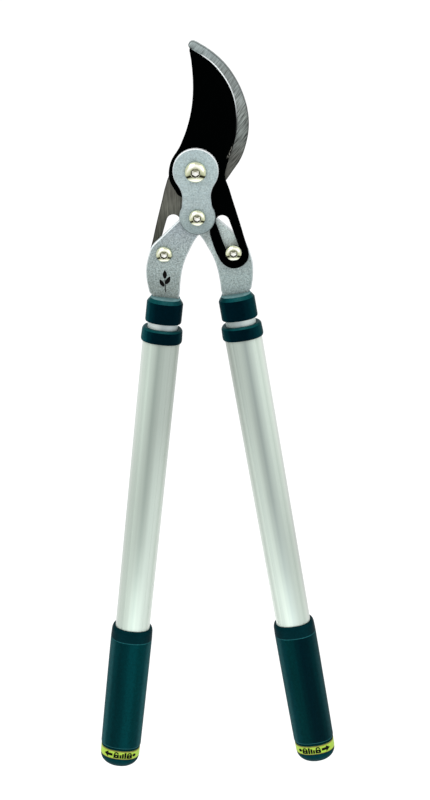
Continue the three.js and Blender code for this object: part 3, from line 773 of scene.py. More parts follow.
# painted light and shade: the side facing out is paler and the side facing in is greyer
ALUMINIUM_INNER = {
    -1: aluminium("drawn_aluminium_inner_0", [
        (-12.5, 190, 200, 198), (-5, 198, 208, 205), (1, 164, 176, 177),
        (6, 174, 186, 187), (12.5, 156, 168, 168),
    ]),
    1: aluminium("drawn_aluminium_inner_2", [
        (-12.5, 148, 160, 158), (-6, 150, 162, 160), (-1, 164, 176, 176),
        (5, 198, 208, 205), (12.5, 190, 200, 198),
    ]),
}


def rubber(name, base, light, rough=0.5, specular=0.03, pebble=0.00005, bands=None, half=19.2):
    """Moulded skin: deep colour with a fine pebble, and the colour light at grazing angles as a
    painted sheen. bands, where given, are painted shade across the handle.
    pebble is the relief in metres."""
    base = srgb(*base)
    shader = Shader(name, base, rough=rough, specular=specular)
    pebbles = shader.voronoi(1500.0)
    fine = shader.noise(scale=2400.0, detail=2.0, rough=0.6)
    cloud = shader.noise(rough=0.6, stretch=(60, 60, 10))
    facing = shader.value("ShaderNodeLayerWeight", {"Blend": 0.35}, output="Facing")
    if bands:
        inner = painted_light_bands(shader.axes()[0], bands, half, cloud.spread(-0.012, 0.012))
    else:
        inner = cloud.ramp([(0.3, *base), (0.7, *(c * 1.15 for c in base[:3]), 1.0)])
    # painted sheen: the colour light at grazing angles
    painted_sheen = facing.ramp([(0.0, 0.0), (0.7, 0.0), (0.9, 0.4), (1.0, 1.0)])
    colour = inner.mix(srgb(*light), painted_sheen)
    mottle = shader.noise(scale=520.0, rough=0.7, stretch=(1, 1, 0.7))
    tone = cloud.spread(0.9, 1.1) * mottle.remap((0.32, 0.68), to=(0.82, 1.18))
    shader.set("Specular Tint", (0.1, 0.8, 0.85, 1.0))
    return shader.finish(
        colour.scaled(tone),
        rough=fine.spread(rough - 0.06, rough + 0.08),
        relief=pebbles * 0.6 + fine * 0.4,
        depth=pebble,
        strength=0.35,
    )


def rubber_pair(name, bands, **settings):
    """One rubber for each handle, from the bands of each."""
    return {side: rubber(f"{name}_{side + 1}", bands=bands[side], **settings) for side in (-1, 1)}


# the bands below are painted shade and highlight across each handle, darker or lighter by side
GRIP_BANDS = {
    -1: [
        (-16, 24, 68, 72), (-13, 1, 45, 49), (-8, 0, 36, 40), (-3, 0, 40, 44), (2, 1, 51, 55),
        (5, 1, 52, 56), (10, 0, 44, 47), (14, 1, 46, 50), (17, 22, 68, 72),
    ],
    1: [
        (-16, 24, 66, 70), (-13, 1, 46, 51), (-8, 0, 41, 43), (-4, 0, 38, 41), (0, 0, 28, 33),
        (4, 0, 22, 29), (10, 0, 23, 29), (14, 0, 33, 37), (17.5, 16, 52, 56),
    ],
}
COLLAR_BANDS = {
    -1: [
        (-16, 20, 70, 74), (-13.5, 6, 54, 60), (-11, 0, 32, 39), (-6, 0, 18, 26),
        (6, 0, 17, 25), (13, 0, 20, 28), (16, 4, 36, 42),
    ],
    1: [
        (-16, 8, 52, 56), (-13, 0, 34, 40), (-9, 0, 18, 26), (3, 0, 17, 25),
        (8, 1, 26, 33), (13, 2, 38, 44), (16, 8, 50, 54),
    ],
}
CHAMFER_BANDS = {
    -1: [
        (-16, 12, 66, 70), (-11, 10, 64, 66), (-6, 10, 62, 65), (0, 24, 72, 75),
        (5, 20, 68, 71), (9, 10, 54, 58), (16, 4, 42, 46),
    ],
    1: [
        (-16, 8, 58, 62), (-11, 3, 46, 50), (-4, 10, 64, 68), (2, 24, 76, 78),
        (8, 12, 64, 67), (13, 6, 58, 60), (16, 4, 46, 50),
    ],
}
GRIP = rubber_pair("soft_grip_teal", GRIP_BANDS, base=(1, 42, 45), light=(20, 78, 82))
CAP = rubber("end_cap_teal", base=(0, 45, 50), light=(6, 66, 70), rough=0.46, specular=0.02)
GRIP_LIP = rubber("soft_grip_lip", base=(2, 33, 38), light=(30, 76, 80), rough=0.42)
# painted highlight: a pale line along the seam below the lip and above the cap
GRIP_SEAM_HIGHLIGHT = rubber("soft_grip_seam_highlight", base=(28, 82, 86), light=(60, 110, 112), rough=0.42)
COLLAR = rubber_pair(
    "collar_dark_teal", COLLAR_BANDS, base=(0, 20, 28), light=(10, 62, 66),
    rough=0.36, specular=0.015, pebble=0.00003, half=17.5,
)
# painted highlight: the collar's top face is much paler than the collar
COLLAR_TOP_HIGHLIGHT = rubber(
    "collar_top_highlight_teal", base=(92, 122, 124), light=(130, 160, 162), rough=0.4, pebble=0.00003
)
# painted highlight: the chamfers of the collar and tube ring are paler than the collar
COLLAR_CHAMFER_HIGHLIGHT = rubber_pair(
    "collar_chamfer_highlight_teal", CHAMFER_BANDS, base=(6, 62, 65), light=(30, 96, 98),
    rough=0.34, specular=0.05, pebble=0.00003, half=17.5,
)
PLASTIC = rubber(
    "black_acetal", base=(28, 30, 31), light=(58, 60, 61), rough=0.4, specular=0.3, pebble=0.00003
)


# ------------------------------------------------------------------ small parts' materials
def yellow_green_band():
    shader = Shader("band_yellow_green", srgb(168, 215, 60), rough=0.42, specular=0.35)
    mottle = shader.noise(scale=160.0)
    fine = shader.noise(scale=1800.0, detail=2.0)
    colour = mottle.ramp([(0.3, 146, 181, 42), (0.7, 166, 199, 58)])
    rough = fine.spread(0.36, 0.5)
    return shader.finish(colour, rough=rough, relief=fine, depth=0.00003, strength=0.2)


def tan_band_edge():
    shader = Shader("band_edge_tan", srgb(120, 112, 52), rough=0.5, specular=0.3)
    mottle = shader.noise(scale=300.0)
    colour = mottle.ramp([(0.3, 104, 98, 44), (0.7, 140, 130, 66)])
    return shader.finish(colour, relief=mottle, depth=0.00003, strength=0.2)


def printed_ink():
    shader = Shader("printed_black", srgb(8, 9, 8), rough=0.45, specular=0.04)
    fine = shader.noise(scale=900.0)
    colour = fine.ramp([(0.3, 2, 2, 2), (0.75, 10, 11, 9)])
    rough = fine.spread(0.38, 0.55)
    return shader.finish(colour, rough=rough, relief=fine, depth=0.00002, strength=0.2)


def bearing_bronze():
    shader = Shader("bearing_bronze", srgb(170, 138, 82), rough=0.36, metal=0.9)
    turned = shader.noise(stretch=(200, 3000, 200))
    spots = shader.noise(scale=500.0)
    colour = spots.ramp([(0.3, 148, 116, 64), (0.7, 188, 156, 98)])
    rough = turned.spread(0.3, 0.46)
    return shader.finish(colour, rough=rough, relief=turned, depth=0.00003, strength=0.4)


def zinc_plating():
    shader = Shader("zinc_plating", srgb(196, 200, 198), rough=0.3, metal=1.0)
    spangle = shader.voronoi(420.0)
    fine = shader.noise(stretch=(300, 300, 30))
    colour = spangle.ramp([(0.0, 178, 183, 184), (1.0, 212, 215, 212)])
    rough = fine.spread(0.24, 0.38)
    return shader.finish(colour, rough=rough, relief=fine, depth=0.00004, strength=0.3)


BAND = yellow_green_band()
BAND_EDGE = tan_band_edge()
INK = printed_ink()
BRONZE = bearing_bronze()
ZINC = zinc_plating()

# ------------------------------------------------------------------ outlines of the head, (X, Z)
# the slotted arm below the hub, drawn for the blade and mirrored for the hook
ARM_OUTER = [
    (23.5, -8.6), (24.9, -12.8), (26.3, -17.0), (28.6, -25.4), (31.0, -33.8), (33.4, -42.3),
    (35.7, -50.8), (37.9, -59.3), (39.4, -64.4), (40.6, -68.6), (40.9, -72.4), (40.0, -76.2),
    (37.8, -79.3), (35.0, -81.5), (31.8, -82.9), (28.3, -83.3), (24.3, -82.4), (20.7, -80.2),
    (17.8, -76.8), (15.8, -72.9), (13.4, -67.1), (12.0, -62.8), (10.6, -57.8), (9.7, -53.4),
]
ARM_INNER = [
    (9.4, -50.2), (9.3, -46.9),
    *arc(0, LOWER_PIVOT_Z, EYE_RADIUS + 0.8, -26, 48, 8),
    (5.5, -27.4),
    *arc(0, 0, HUB_RADIUS, -80, -127, 7),
]
BLADE_EDGE = [
    (-0.6, 95.9), (2.7, 93.9), (6.5, 91.6), (10.3, 88.9), (14.1, 86.0), (17.9, 82.4),
    (21.6, 78.0), (24.9, 73.4), (27.6, 68.9), (29.8, 64.3), (31.6, 59.5), (32.9, 54.5),
    (33.7, 49.5), (34.1, 44.5), (34.2, 39.5), (34.0, 34.7), (33.5, 30.2), (32.7, 26.0),
    (31.6, 21.5), (30.2, 17.0), (28.7, 12.8), (27.2, 8.6), (25.7, 4.4), (24.3, 0.2), (23.2, -3.8),
]
BLADE_SPINE = [
    (-17.6, -15.9), (-20.0, -11.6), (-21.4, -8.0), (-21.9, -4.6), (-21.8, -1.0), (-21.1, 3.0),
    (-19.6, 7.2), (-17.3, 11.2), (-14.5, 15.1), (-12.0, 19.2), (-9.8, 24.0), (-7.7, 28.8),
    (-5.6, 34.5), (-3.9, 40.0), (-2.4, 46.0), (-1.2, 52.0), (-0.4, 58.0), (0.1, 64.0),
    (0.3, 70.0), (0.2, 76.0), (-0.1, 82.0), (-0.6, 88.0), (-1.3, 93.0), (-1.5, 95.0),
]
HOOK_OUTER = [
    (-2.5, 97.6), (-1.4, 99.9), (0.9, 100.8), (3.4, 100.0), (6.8, 98.0), (10.6, 95.7),
    (14.4, 93.0), (18.2, 89.9), (22.0, 86.4), (25.8, 82.3), (29.5, 77.5), (33.3, 71.4),
    (36.8, 64.6), (39.3, 58.2), (41.1, 52.4), (42.4, 46.5), (43.1, 41.0), (43.3, 36.0),
    (43.1, 31.5), (42.4, 26.2), (41.3, 21.3), (40.1, 17.0), (38.7, 12.8), (36.9, 8.6),
    (34.7, 4.6), (32.0, 0.8), (29.2, -3.0), (26.5, -6.8), (23.8, -10.4), (20.6, -13.9),
    (17.8, -17.6),
]
HOOK_HEEL = [(-22.0, -5.4), (-20.9, 0.2)]
HOOK_INNER = [
    (-19.6, 5.0), (-17.0, 10.2), (-13.5, 14.8), (-9.0, 18.6), (-3.2, 21.4), (3.2, 22.6),
    (9.0, 25.4), (13.6, 30.2), (16.8, 36.4), (18.4, 43.6), (18.6, 51.0), (17.4, 58.6),
    (15.0, 66.0), (11.6, 73.2), (7.6, 80.0), (3.6, 86.2), (0.2, 91.8), (-1.7, 95.4),
]
BRACKET_OUTER = [
    *arc(0, LOWER_PIVOT_Z, EYE_RADIUS, 214, 30, 14),
    (11.7, -38.2), (15.2, -41.4), (19.2, -45.1), (22.8, -48.4), (26.5, -51.8), (30.2, -55.2),
    (34.0, -58.7), (37.2, -61.8), (39.3, -64.9), (41.1, -69.5), (42.6, -74.3), (43.7, -79.0),
    (44.2, -84.0), (44.2, -89.0), (43.8, -94.0), (43.0, -98.8), (41.7, -103.4),
]
# the tang inside the tube: mm down the handle, mm across it
BRACKET_TANG = [
    (72.0, 11.0), (75.4, 11.0), (75.6, 8.0), (137, 8.0), (140, 5.0),
    (140, -5.0), (137, -8.0), (75.6, -8.0), (75.4, -11.0), (72.0, -11.0),
]
BRACKET_INNER = [
    (17.1, -103.5), (16.7, -98.0), (16.1, -93.6), (15.4, -89.2), (14.5, -84.9), (13.4, -80.5),
    (11.9, -76.2), (10.1, -71.9), (7.9, -67.6), (5.7, -63.3), (3.4, -59.2), (0.5, -55.3),
    (-3.0, -51.0),
]
LINK_SIDE = [
    *arc(0, 0, 18.4, 90, -36, 14),
    (12.75, -15.0), (11.7, -18.8), (11.5, -22.6), (11.9, -26.4),
    *arc(0, LOWER_PIVOT_Z, 14.6, 32, -90, 12),
]
LINK_OUTLINE = smooth([*LINK_SIDE, *mirror(LINK_SIDE[1:-1])], corner=60)
ARM_SLOT = slot_outline(SLIDE_BOLT, SLOT_TOP, SLOT_RADIUS)
HANDLE_DOWN = (math.sin(HANDLE_ANGLE), -math.cos(HANDLE_ANGLE))
HANDLE_ACROSS = (math.cos(HANDLE_ANGLE), math.sin(HANDLE_ANGLE))


def on_handle(down, across):
    """X and Z of a place on the right handle."""
    outward = HANDLE_OFFSET + across
    return (
        HANDLE_ACROSS[0] * outward + HANDLE_DOWN[0] * down,
        LOWER_PIVOT_Z + HANDLE_ACROSS[1] * outward + HANDLE_DOWN[1] * down,
    )


# ------------------------------------------------------------------ flat plates
RIM_SPANS = [("R", 1), ("R", 1), ("F", 1), ("R", 1), ("R", 1)]


def rim_rings(outline, y, front, back):
    """A wall with softened rims. front and back are (width, inset of the ring in between)."""
    points = counterclockwise(outline)
    profile = [
        (front[0], y[0]), (front[1], y[0] + front[1]), (0.0, y[0] + front[0]),
        (0.0, y[1] - back[0]), (back[1], y[1] - back[1]), (back[0], y[1]),
    ]
    return [at_y(inset(points, distance), level) for distance, level in profile]


def cut_hole(shell, outline, y, edge, back_edge, rim, wall):
    """A hole through the plate with softened rims. rim and wall are material indices."""
    points = counterclockwise(outline)[::-1].copy()
    rings = [
        at_y(inset(points, edge), y[0]),
        at_y(points, y[0] + edge),
        at_y(points, y[1] - back_edge),
        at_y(inset(points, back_edge), y[1]),
    ]
    shell.loft(rings, [("R", rim), ("F", wall), ("R", rim)])


def plate(outline, holes, y, edge=0.8, back_edge=0.6, hole_edge=0.5):
    """A flat plate with holes, its faces in material 0 and its walls and rims in 1."""
    shell = Shell()
    rings = rim_rings(outline, y, (edge, edge * 0.29), (back_edge, back_edge * 0.29))
    shell.loft(rings, RIM_SPANS)
    for hole in holes:
        cut_hole(shell, hole, y, hole_edge, hole_edge, rim=1, wall=1)
    shell.close()
    return shell


def front_link_plate():
    holes = [circle(0, 0, MAIN_BORE), circle(0, LOWER_PIVOT_Z, SMALL_BORE)]
    shell = plate(LINK_OUTLINE, holes, Y_FRONT_LINK, edge=0.62)
    shell.build("front_link_plate", "bracket_paint", [PAINT_LINK, PAINT_LINK_RIM_LIGHT_AND_SHADE])


def rear_link_plate():
    """The thick rear plate, with hexagon pockets for the nuts in its back."""
    y0, y1 = Y_REAR_LINK
    shell = Shell()
    shell.loft(rim_rings(LINK_OUTLINE, Y_REAR_LINK, (0.6, 0.17), (0.9, 0.26)), RIM_SPANS)
    for z, bore, pocket in ((0, MAIN_BORE, 9.0), (LOWER_PIVOT_Z, SMALL_BORE, 7.6)):
        rings = [
            at_y(circle(0, z, bore + 0.4), y0),
            at_y(circle(0, z, bore), y0 + 0.4),
            at_y(circle(0, z, bore), POCKET_FLOOR_Y),
            at_y(hexagon(0, z, pocket), POCKET_FLOOR_Y),
            at_y(hexagon(0, z, pocket), y1 - 0.5),
            at_y(hexagon(0, z, pocket + 0.5), y1),
        ]
        spans = [("R", 1), ("F", 0), ("F", 0), ("F", 0), ("R", 1)]
        shell.loft([ring[::-1] for ring in rings], spans)
    shell.close()
    shell.build("rear_link_plate", "bracket_paint", [PAINT, PAINT_RIM_HIGHLIGHT])


def bracket(side, prefix):
    tang = [on_handle(*place) for place in BRACKET_TANG]
    outline = smooth([*BRACKET_OUTER, *tang, *BRACKET_INNER], corner=36)
    rivet_x, rivet_z = on_handle(85, 0)
    holes = [
        circle(0, LOWER_PIVOT_Z, SMALL_BORE),
        circle(side * SLIDE_BOLT[0], SLIDE_BOLT[1], SMALL_BORE),
        circle(side * rivet_x, rivet_z, 2.7, 40),
    ]
    shell = plate(
        outline if side > 0 else mirror(outline), holes, Y_BRACKET[side], edge=0.8, back_edge=0.8
    )
    face = PAINT_RIGHT if side > 0 else PAINT
    shell.build(prefix + "bracket", "bracket_paint", [face, PAINT_RIM_HIGHLIGHT])


# ------------------------------------------------------------------ blade and hook
def weighted(points, start=0, rise=3.0, fall=3.0):
    """Adds a weight of 1 where the edge is ground, fading to 0 at its ends. It rises over rise
    points from the point start, and falls over the last fall points."""
    last = len(points) - 1
    return [
        (*point, max(0.0, min((i - start) / rise, (last - i) / fall, 1.0)))
        for i, point in enumerate(points)
    ]


def unweighted(points):
    return [(*point, 0.0) for point in points]


def blended_rings(points, ground, profile):
    """Rings that blend two profiles. Rows are (face, inset where ground, inset elsewhere,
    Y from the face where ground, Y from the face elsewhere)."""
    plain = 1 - ground
    return [
        at_y(
            inset(points, ground_inset * ground + plain_inset * plain),
            face + ground_y * ground + plain_y * plain,
        )
        for face, ground_inset, plain_inset, ground_y, plain_y in profile
    ]


def cutting_blade():
    """The blade, with a wide bevel on the front of its cutting edge."""
    y0, y1 = Y_BLADE
    rows = weighted(BLADE_EDGE, rise=3.0, fall=6.0)
    rows += unweighted([*ARM_OUTER, *ARM_INNER, *BLADE_SPINE])
    rows = counterclockwise(smooth(rows, corner=60))
    points, weight = rows[:, :2], rows[:, 2]
    ground = weight * weight * (3 - 2 * weight)
    profile = [
        (y0, 7.0, 0.55, 0.0, 0.0),
        (y0, 6.7, 0.16, 0.03, 0.16),
        (y1, 0.8, 0.02, -0.82, -4.4),
        (y1, 0.7, 0.01, -0.76, -4.2),
        (y1, 0.0, 0.0, -0.2, -0.42),
        (y1, 0.02, 0.4, 0.0, 0.0),
    ]
    # only the jaw shows bare metal: the rest of the rim is coated
    bare = (ground > 0.05).astype(int)
    shell = Shell()
    shell.loft(
        blended_rings(points, ground, profile),
        [("R", 0), ("F", 0), ("R", bare), ("F", bare), ("F", bare)],
    )
    for hole in (circle(0, 0, MAIN_BORE), ARM_SLOT):
        cut_hole(shell, hole, Y_BLADE, 0.4, 0.3, rim=0, wall=0)
    shell.close()
    shell.build("cutting_blade", "blade_coating", [BLADE, EDGE])


def hook():
    """The hook, with a wider front chamfer along the inside of its jaw."""
    y0, y1 = Y_HOOK
    rows = unweighted([*HOOK_OUTER, *mirror(ARM_INNER), *mirror(ARM_OUTER), *HOOK_HEEL])
    rows += weighted(HOOK_INNER, start=4, rise=3.0, fall=3.0)
    rows = counterclockwise(smooth(rows, corner=60))
    profile = [
        (y0, 1.6, 0.8, 0.0, 0.0),
        (y0, 1.3, 0.22, 0.2, 0.22),
        (y0, 0.0, 0.0, 1.6, 0.8),
        (y1, 0.0, 0.0, -0.6, -0.6),
        (y1, 0.17, 0.17, -0.17, -0.17),
        (y1, 0.6, 0.6, 0.0, 0.0),
    ]
    shell = Shell()
    shell.loft(
        blended_rings(rows[:, :2], rows[:, 2], profile),
        [("R", 1), ("R", 1), ("F", 0), ("R", 1), ("R", 1)],
    )
    for hole in (circle(0, 0, MAIN_BORE), mirror(ARM_SLOT)):
        cut_hole(shell, hole, Y_HOOK, 0.5, 0.5, rim=1, wall=0)
    shell.close()
    shell.build("hook", "ground_steel", [HOOK, HOOK_RIM_SHADE])


# ------------------------------------------------------------------ fasteners
MAIN_BOLT = dict(head=8.75, height=5.0, shank=5.0, length=22.0, socket=3.3, sink=2.4)
LOWER_BOLT = dict(head=6.75, height=4.2, shank=4.0, length=22.0, socket=2.8, sink=2.0)
SLIDE_BOLT_SIZE = {**LOWER_BOLT, "length": 16.3}
MAIN_NUT_RADIUS = 8.6
SMALL_NUT_RADIUS = 7.2
SLIDE_NUT_HEIGHT = 4.8
BUSH_RADIUS = 5.3


def bolt(node, x, z, under, head, height, shank, length, socket, sink):
    """Button-head screw with a bevelled hexagon socket and a chamfered end. under is the Y of the
    head's underside, head, shank and socket are radii, and sink is the socket's depth."""
    count = 96
    side_height = 1.15
    steps = 12

    def ring(radius, y):
        return at_y(circle(x, z, radius, count), y)

    def socket_ring(radius, y):
        return at_y(hexagon(x, z, radius, count, math.pi / 2), y)

    dome_angle = math.acos((socket + 0.75) / head)
    dome = [dome_angle * (1 - i / steps) for i in range(steps)]
    dome_height = height - side_height
    lip = under - side_height - dome_height * math.sin(dome_angle)
    end = under + length
    # ring, then shading and material of the span that follows
    rows = [
        (socket_ring(socket * 0.12, lip + sink + 0.75), "F", 2),
        (socket_ring(socket * 0.97, lip + sink), "R", 1),
        (socket_ring(socket, lip + sink - 0.25), "F", 1),
        (socket_ring(socket, lip + 0.4), "F", 1),
        (ring(socket + 0.45, lip + 0.02), "R", 0),
        *(
            (ring(head * math.cos(a), under - side_height - dome_height * math.sin(a)), "R", 0)
            for a in dome
        ),
        (ring(head, under - side_height), "F", 0),
        (ring(head, under - 0.3), "R", 0),
        (ring(head - 0.3, under), "F", 0),
        (ring(shank, under), "F", 0),
        (ring(shank, end - 0.6), "F", 0),
        (ring(shank - 0.6, end), "F", 0),
    ]
    shell = Shell()
    shell.loft([row[0] for row in rows], [row[1:] for row in rows])
    shell.close(first=2)
    shell.build(node, "plated_fastener", FASTENER)


def nut(node, x, z, y, radius, bore):
    """Hexagon nut, its corners turned down on the back face, with a countersunk bore."""
    y0, y1 = y
    shell = Shell()
    outline = hexagon(x, z, radius)
    centre = np.array((x, z))
    round_radius = radius * 0.93
    beyond = np.linalg.norm(outline - centre, axis=1) - round_radius
    turned = np.where(beyond[:, None] > 0, circle(x, z, round_radius), outline)
    rings = [
        at_y(inset(outline, 0.15), y0),
        at_y(outline, y0 + 0.15),
        at_y(outline, y1 - 0.15 - np.maximum(beyond, 0) * 0.6),
        at_y(turned + (centre - turned) * 0.015, y1),
    ]
    shell.loft(rings, [("R", 0), ("F", 0), ("F", 0)])
    bore_profile = [(bore + 0.5, y0), (bore, y0 + 0.5), (bore, y1 - 0.5), (bore + 0.5, y1)]
    rings = [at_y(circle(x, z, size)[::-1], level) for size, level in bore_profile]
    shell.loft(rings, [("F", 0)] * 3)
    shell.close()
    shell.build(node, "plated_fastener", [NICKEL])


def pivot_fasteners():
    under = Y_FRONT_LINK[0] - FASTENER_GAP
    nut_y = (POCKET_FLOOR_Y + FASTENER_GAP, Y_REAR_LINK[1] - FASTENER_GAP)
    bolt("main_pivot_bolt", 0, 0, under, **MAIN_BOLT)
    bolt("lower_pivot_bolt", 0, LOWER_PIVOT_Z, under, **LOWER_BOLT)
    nut("main_pivot_nut", 0, 0, nut_y, MAIN_NUT_RADIUS, MAIN_BORE)
    nut("lower_pivot_nut", 0, LOWER_PIVOT_Z, nut_y, SMALL_NUT_RADIUS, SMALL_BORE)


def slide_fasteners(side, prefix):
    """Bolt, nut and bush that run in the slot of the arm on this side."""
    x, z = side * SLIDE_BOLT[0], SLIDE_BOLT[1]
    bolt(prefix + "slide_bolt", x, z, Y_BLADE[0] - FASTENER_GAP, **SLIDE_BOLT_SIZE)
    nut_front = Y_HOOK[1] + FASTENER_GAP
    nut_y = (nut_front, nut_front + SLIDE_NUT_HEIGHT)
    nut(prefix + "slide_nut", x, z, nut_y, SMALL_NUT_RADIUS, SMALL_BORE)
    arm_y = Y_BRACKET[-side]
    bush = plate(
        circle(x, z, BUSH_RADIUS),
        [circle(x, z, SMALL_BORE)],
        (arm_y[0] + 0.2, arm_y[1] - 0.2),
        edge=0.35,
        back_edge=0.35,
        hole_edge=0.2,
    )
    bush.build(prefix + "slide_bush", "bush_bronze", [BRONZE, BRONZE])


# ------------------------------------------------------------------ handles
# Ovals swept down the handle's own axis. Their profile rows are (mm down the handle, half width
# on X, half depth on Y, shading and material of the span that follows).
RING_ANGLES = np.arange(120) * 2 * math.pi / 120
GROOVE_X = 9.6
BAND_SPAN = (533.1, 542.6)
BAND_SIZE = (18.7, 13.3)
COLLAR_PROFILE = [
    (72.5, 11.5, 7.5, "R", 2),
    (72.8, 11.95, 7.95, "F", 2),
    (73.9, 12.55, 8.7, "F", 1),
    (76.9, 14.65, 10.5, "R", 0),
    (78.1, 15.28, 11.05, "F", 0),
    (93.7, 15.32, 11.12, "R", 0),
    (94.4, 15.1, 10.9, "R", 0),
    (94.7, 14.6, 10.4, "F", 0),
    (94.7, 13.3, 8.95, "F", 0),
    (94.5, 13.1, 8.75, "F", 0),
    (76.2, 13.1, 8.75, "F", 0),
]
TUBE_RING_PROFILE = [
    (100.3, 14.9, 10.7, "R", 1),
    (100.5, 15.9, 11.6, "F", 1),
    (101.6, 16.8, 12.45, "R", 0),
    (102.5, 17.15, 12.75, "F", 0),
    (109.7, 17.5, 13.0, "R", 0),
    (111.1, 17.42, 12.92, "R", 0),
    (111.8, 17.1, 12.6, "R", 0),
    (112.0, 16.7, 12.2, "F", 0),
    (112.0, 16.2, 11.6, "F", 0),
    (103.0, 16.15, 11.55, "F", 0),
    (103.0, 13.1, 8.75, "F", 0),
    (100.3, 13.1, 8.75, "F", 1),
]
GRIP_PROFILE = [
    (397.7, 16.5, 11.9, "R", 1),
    (398.0, 17.1, 12.3, "R", 1),
    (398.9, 17.9, 12.9, "R", 1),
    (400.1, 18.45, 13.2, "R", 1),
    (401.7, 18.82, 13.42, "R", 1),
    (402.5, 18.88, 13.45, "F", 1),
    (409.3, 19.15, 13.6, "R", 1),
    (409.8, 19.05, 13.5, "R", 2),
    (410.2, 18.8, 13.25, "R", 2),
    (410.6, 19.05, 13.5, "R", 0),
    (411.1, 19.15, 13.6, "F", 0),
    (440.0, 19.22, 13.66, "F", 0),
    (490.0, 19.2, 13.64, "F", 0),
    (528.1, 19.05, 13.5, "R", 0),
    (529.1, 19.12, 13.56, "R", 2),
    (529.7, 19.05, 13.5, "R", 0),
    (530.8, 18.6, 13.05, "R", 0),
    (531.1, 18.1, 12.6, "F", 0),
    (531.1, 16.15, 11.55, "F", 0),
    (397.7, 16.15, 11.55, "F", 0),
]
# blind hole, top face and band groove, with the oval's power as a fourth column
CAP_PROFILE = [
    (539.7, 3.9, 3.9, 2.0, "F", 0),
    (532.1, 3.9, 3.9, 2.0, "R", 0),
    (531.7, 4.3, 4.3, 2.0, "F", 0),
    (531.7, 17.3, 11.9, OVAL_POWER, "R", 0),
    (531.95, 17.85, 12.45, OVAL_POWER, "R", 0),
    (532.5, 18.3, 12.9, OVAL_POWER, "R", 0),
    (532.8, 18.4, 13.0, OVAL_POWER, "F", 0),
    (532.8, 17.2, 11.8, OVAL_POWER, "F", 0),
    (542.9, 17.2, 11.8, OVAL_POWER, "F", 0),
    (542.9, 18.3, 12.9, OVAL_POWER, "R", 0),
]
BAND_PROFILE = [
    (BAND_SPAN[0], 18.45, 13.05, "R", 1),
    (533.3, 18.66, 13.26, "F", 1),
    (534.0, *BAND_SIZE, "F", 0),
    (541.7, *BAND_SIZE, "F", 1),
    (542.4, 18.66, 13.26, "R", 1),
    (BAND_SPAN[1], 18.45, 13.05, "F", 1),
    (BAND_SPAN[1], 17.6, 12.2, "F", 0),
    (BAND_SPAN[0], 17.6, 12.2, "F", 0),
]


def handle_place(side):
    """The handle's frame: its foot beside the lower pivot, tilted outwards going down."""
    cosine, sine = math.cos(HANDLE_ANGLE), math.sin(HANDLE_ANGLE) * side
    tilt = Matrix(((cosine, 0, -sine, 0), (0, 1, 0, 0), (sine, 0, cosine, 0), (0, 0, 0, 1)))
    foot = Vector((
        side * HANDLE_ACROSS[0] * HANDLE_OFFSET * MM,
        sum(Y_BRACKET[side]) / 2 * MM,
        (LOWER_PIVOT_Z + HANDLE_ACROSS[1] * HANDLE_OFFSET) * MM,
    ))
    return Matrix.Translation(ORIGIN + foot) @ tilt


def at_station(points, down):
    return np.column_stack([points, np.full(len(points), -float(down))])


def oval(down, half_width, half_depth, power=OVAL_POWER, angles=RING_ANGLES):
    """A superellipse ring at the distance down along the handle."""
    cosine, sine = np.cos(angles), np.sin(angles)
    total = (np.abs(cosine) / half_width) ** power + (np.abs(sine) / half_depth) ** power
    radius = 1.0 / total ** (1.0 / power)
    return at_station(np.stack([radius * cosine, radius * sine], 1), down)


def rings_and_spans(profile):
    return [oval(*row[:-2]) for row in profile], [row[-2:] for row in profile]


def sweep(node, slot, side, rings, spans, materials):
    """A ring-shaped piece: the profile closes on itself."""
    shell = Shell(ends=(UP, DOWN))
    shell.loft(rings, spans, closed=True)
    shell.build(node, slot, materials, handle_place(side))


def tube_angles(half_width, half_depth):
    """Angles of a tube's ring, closer together where the shallow grooves run."""
    fine = np.linspace(0, 2 * math.pi, 7200, endpoint=False)
    x = oval(0, half_width, half_depth, angles=fine)[:, 0]
    density = 1.0 + 5.0 * np.exp(-(((np.abs(x) - GROOVE_X) / 0.9) ** 2))
    total = np.concatenate([[0], np.cumsum(density)])
    wanted = np.linspace(0, total[-1], 192, endpoint=False)
    return np.interp(wanted, total, np.concatenate([fine, [2 * math.pi]]))


def grooved(ring, depth=0.34, width=0.62):
    result = ring.copy()
    across = (np.abs(ring[:, 0]) - GROOVE_X) / width
    result[:, 1] -= np.sign(ring[:, 1]) * depth * np.exp(-(across**2))
    return result


def tube(node, side, half_width, half_depth, start, end, material, grooves):
    angles = tube_angles(half_width, half_depth)
    edge = 0.3
    parts = 40

    def ring(shrink, down):
        return oval(down, half_width - shrink, half_depth - shrink, angles=angles)

    outer = [ring(edge, start)]
    for i in range(parts + 1):
        outer.append(ring(0, start + edge + (end - start - 2 * edge) * i / parts))
    outer.append(ring(edge, end))
    if grooves:
        outer = [grooved(each) for each in outer]
    inner = [
        ring(TUBE_WALL - 0.2, end),
        ring(TUBE_WALL, end - 0.3),
        ring(TUBE_WALL, start + 0.3),
        ring(TUBE_WALL - 0.2, start),
    ]
    spans = [("R", 0)] + [("F", 0)] * parts + [("R", 0)] + [("F", 0)] * 5
    sweep(node, "tube_aluminium", side, outer + inner, spans, [material])


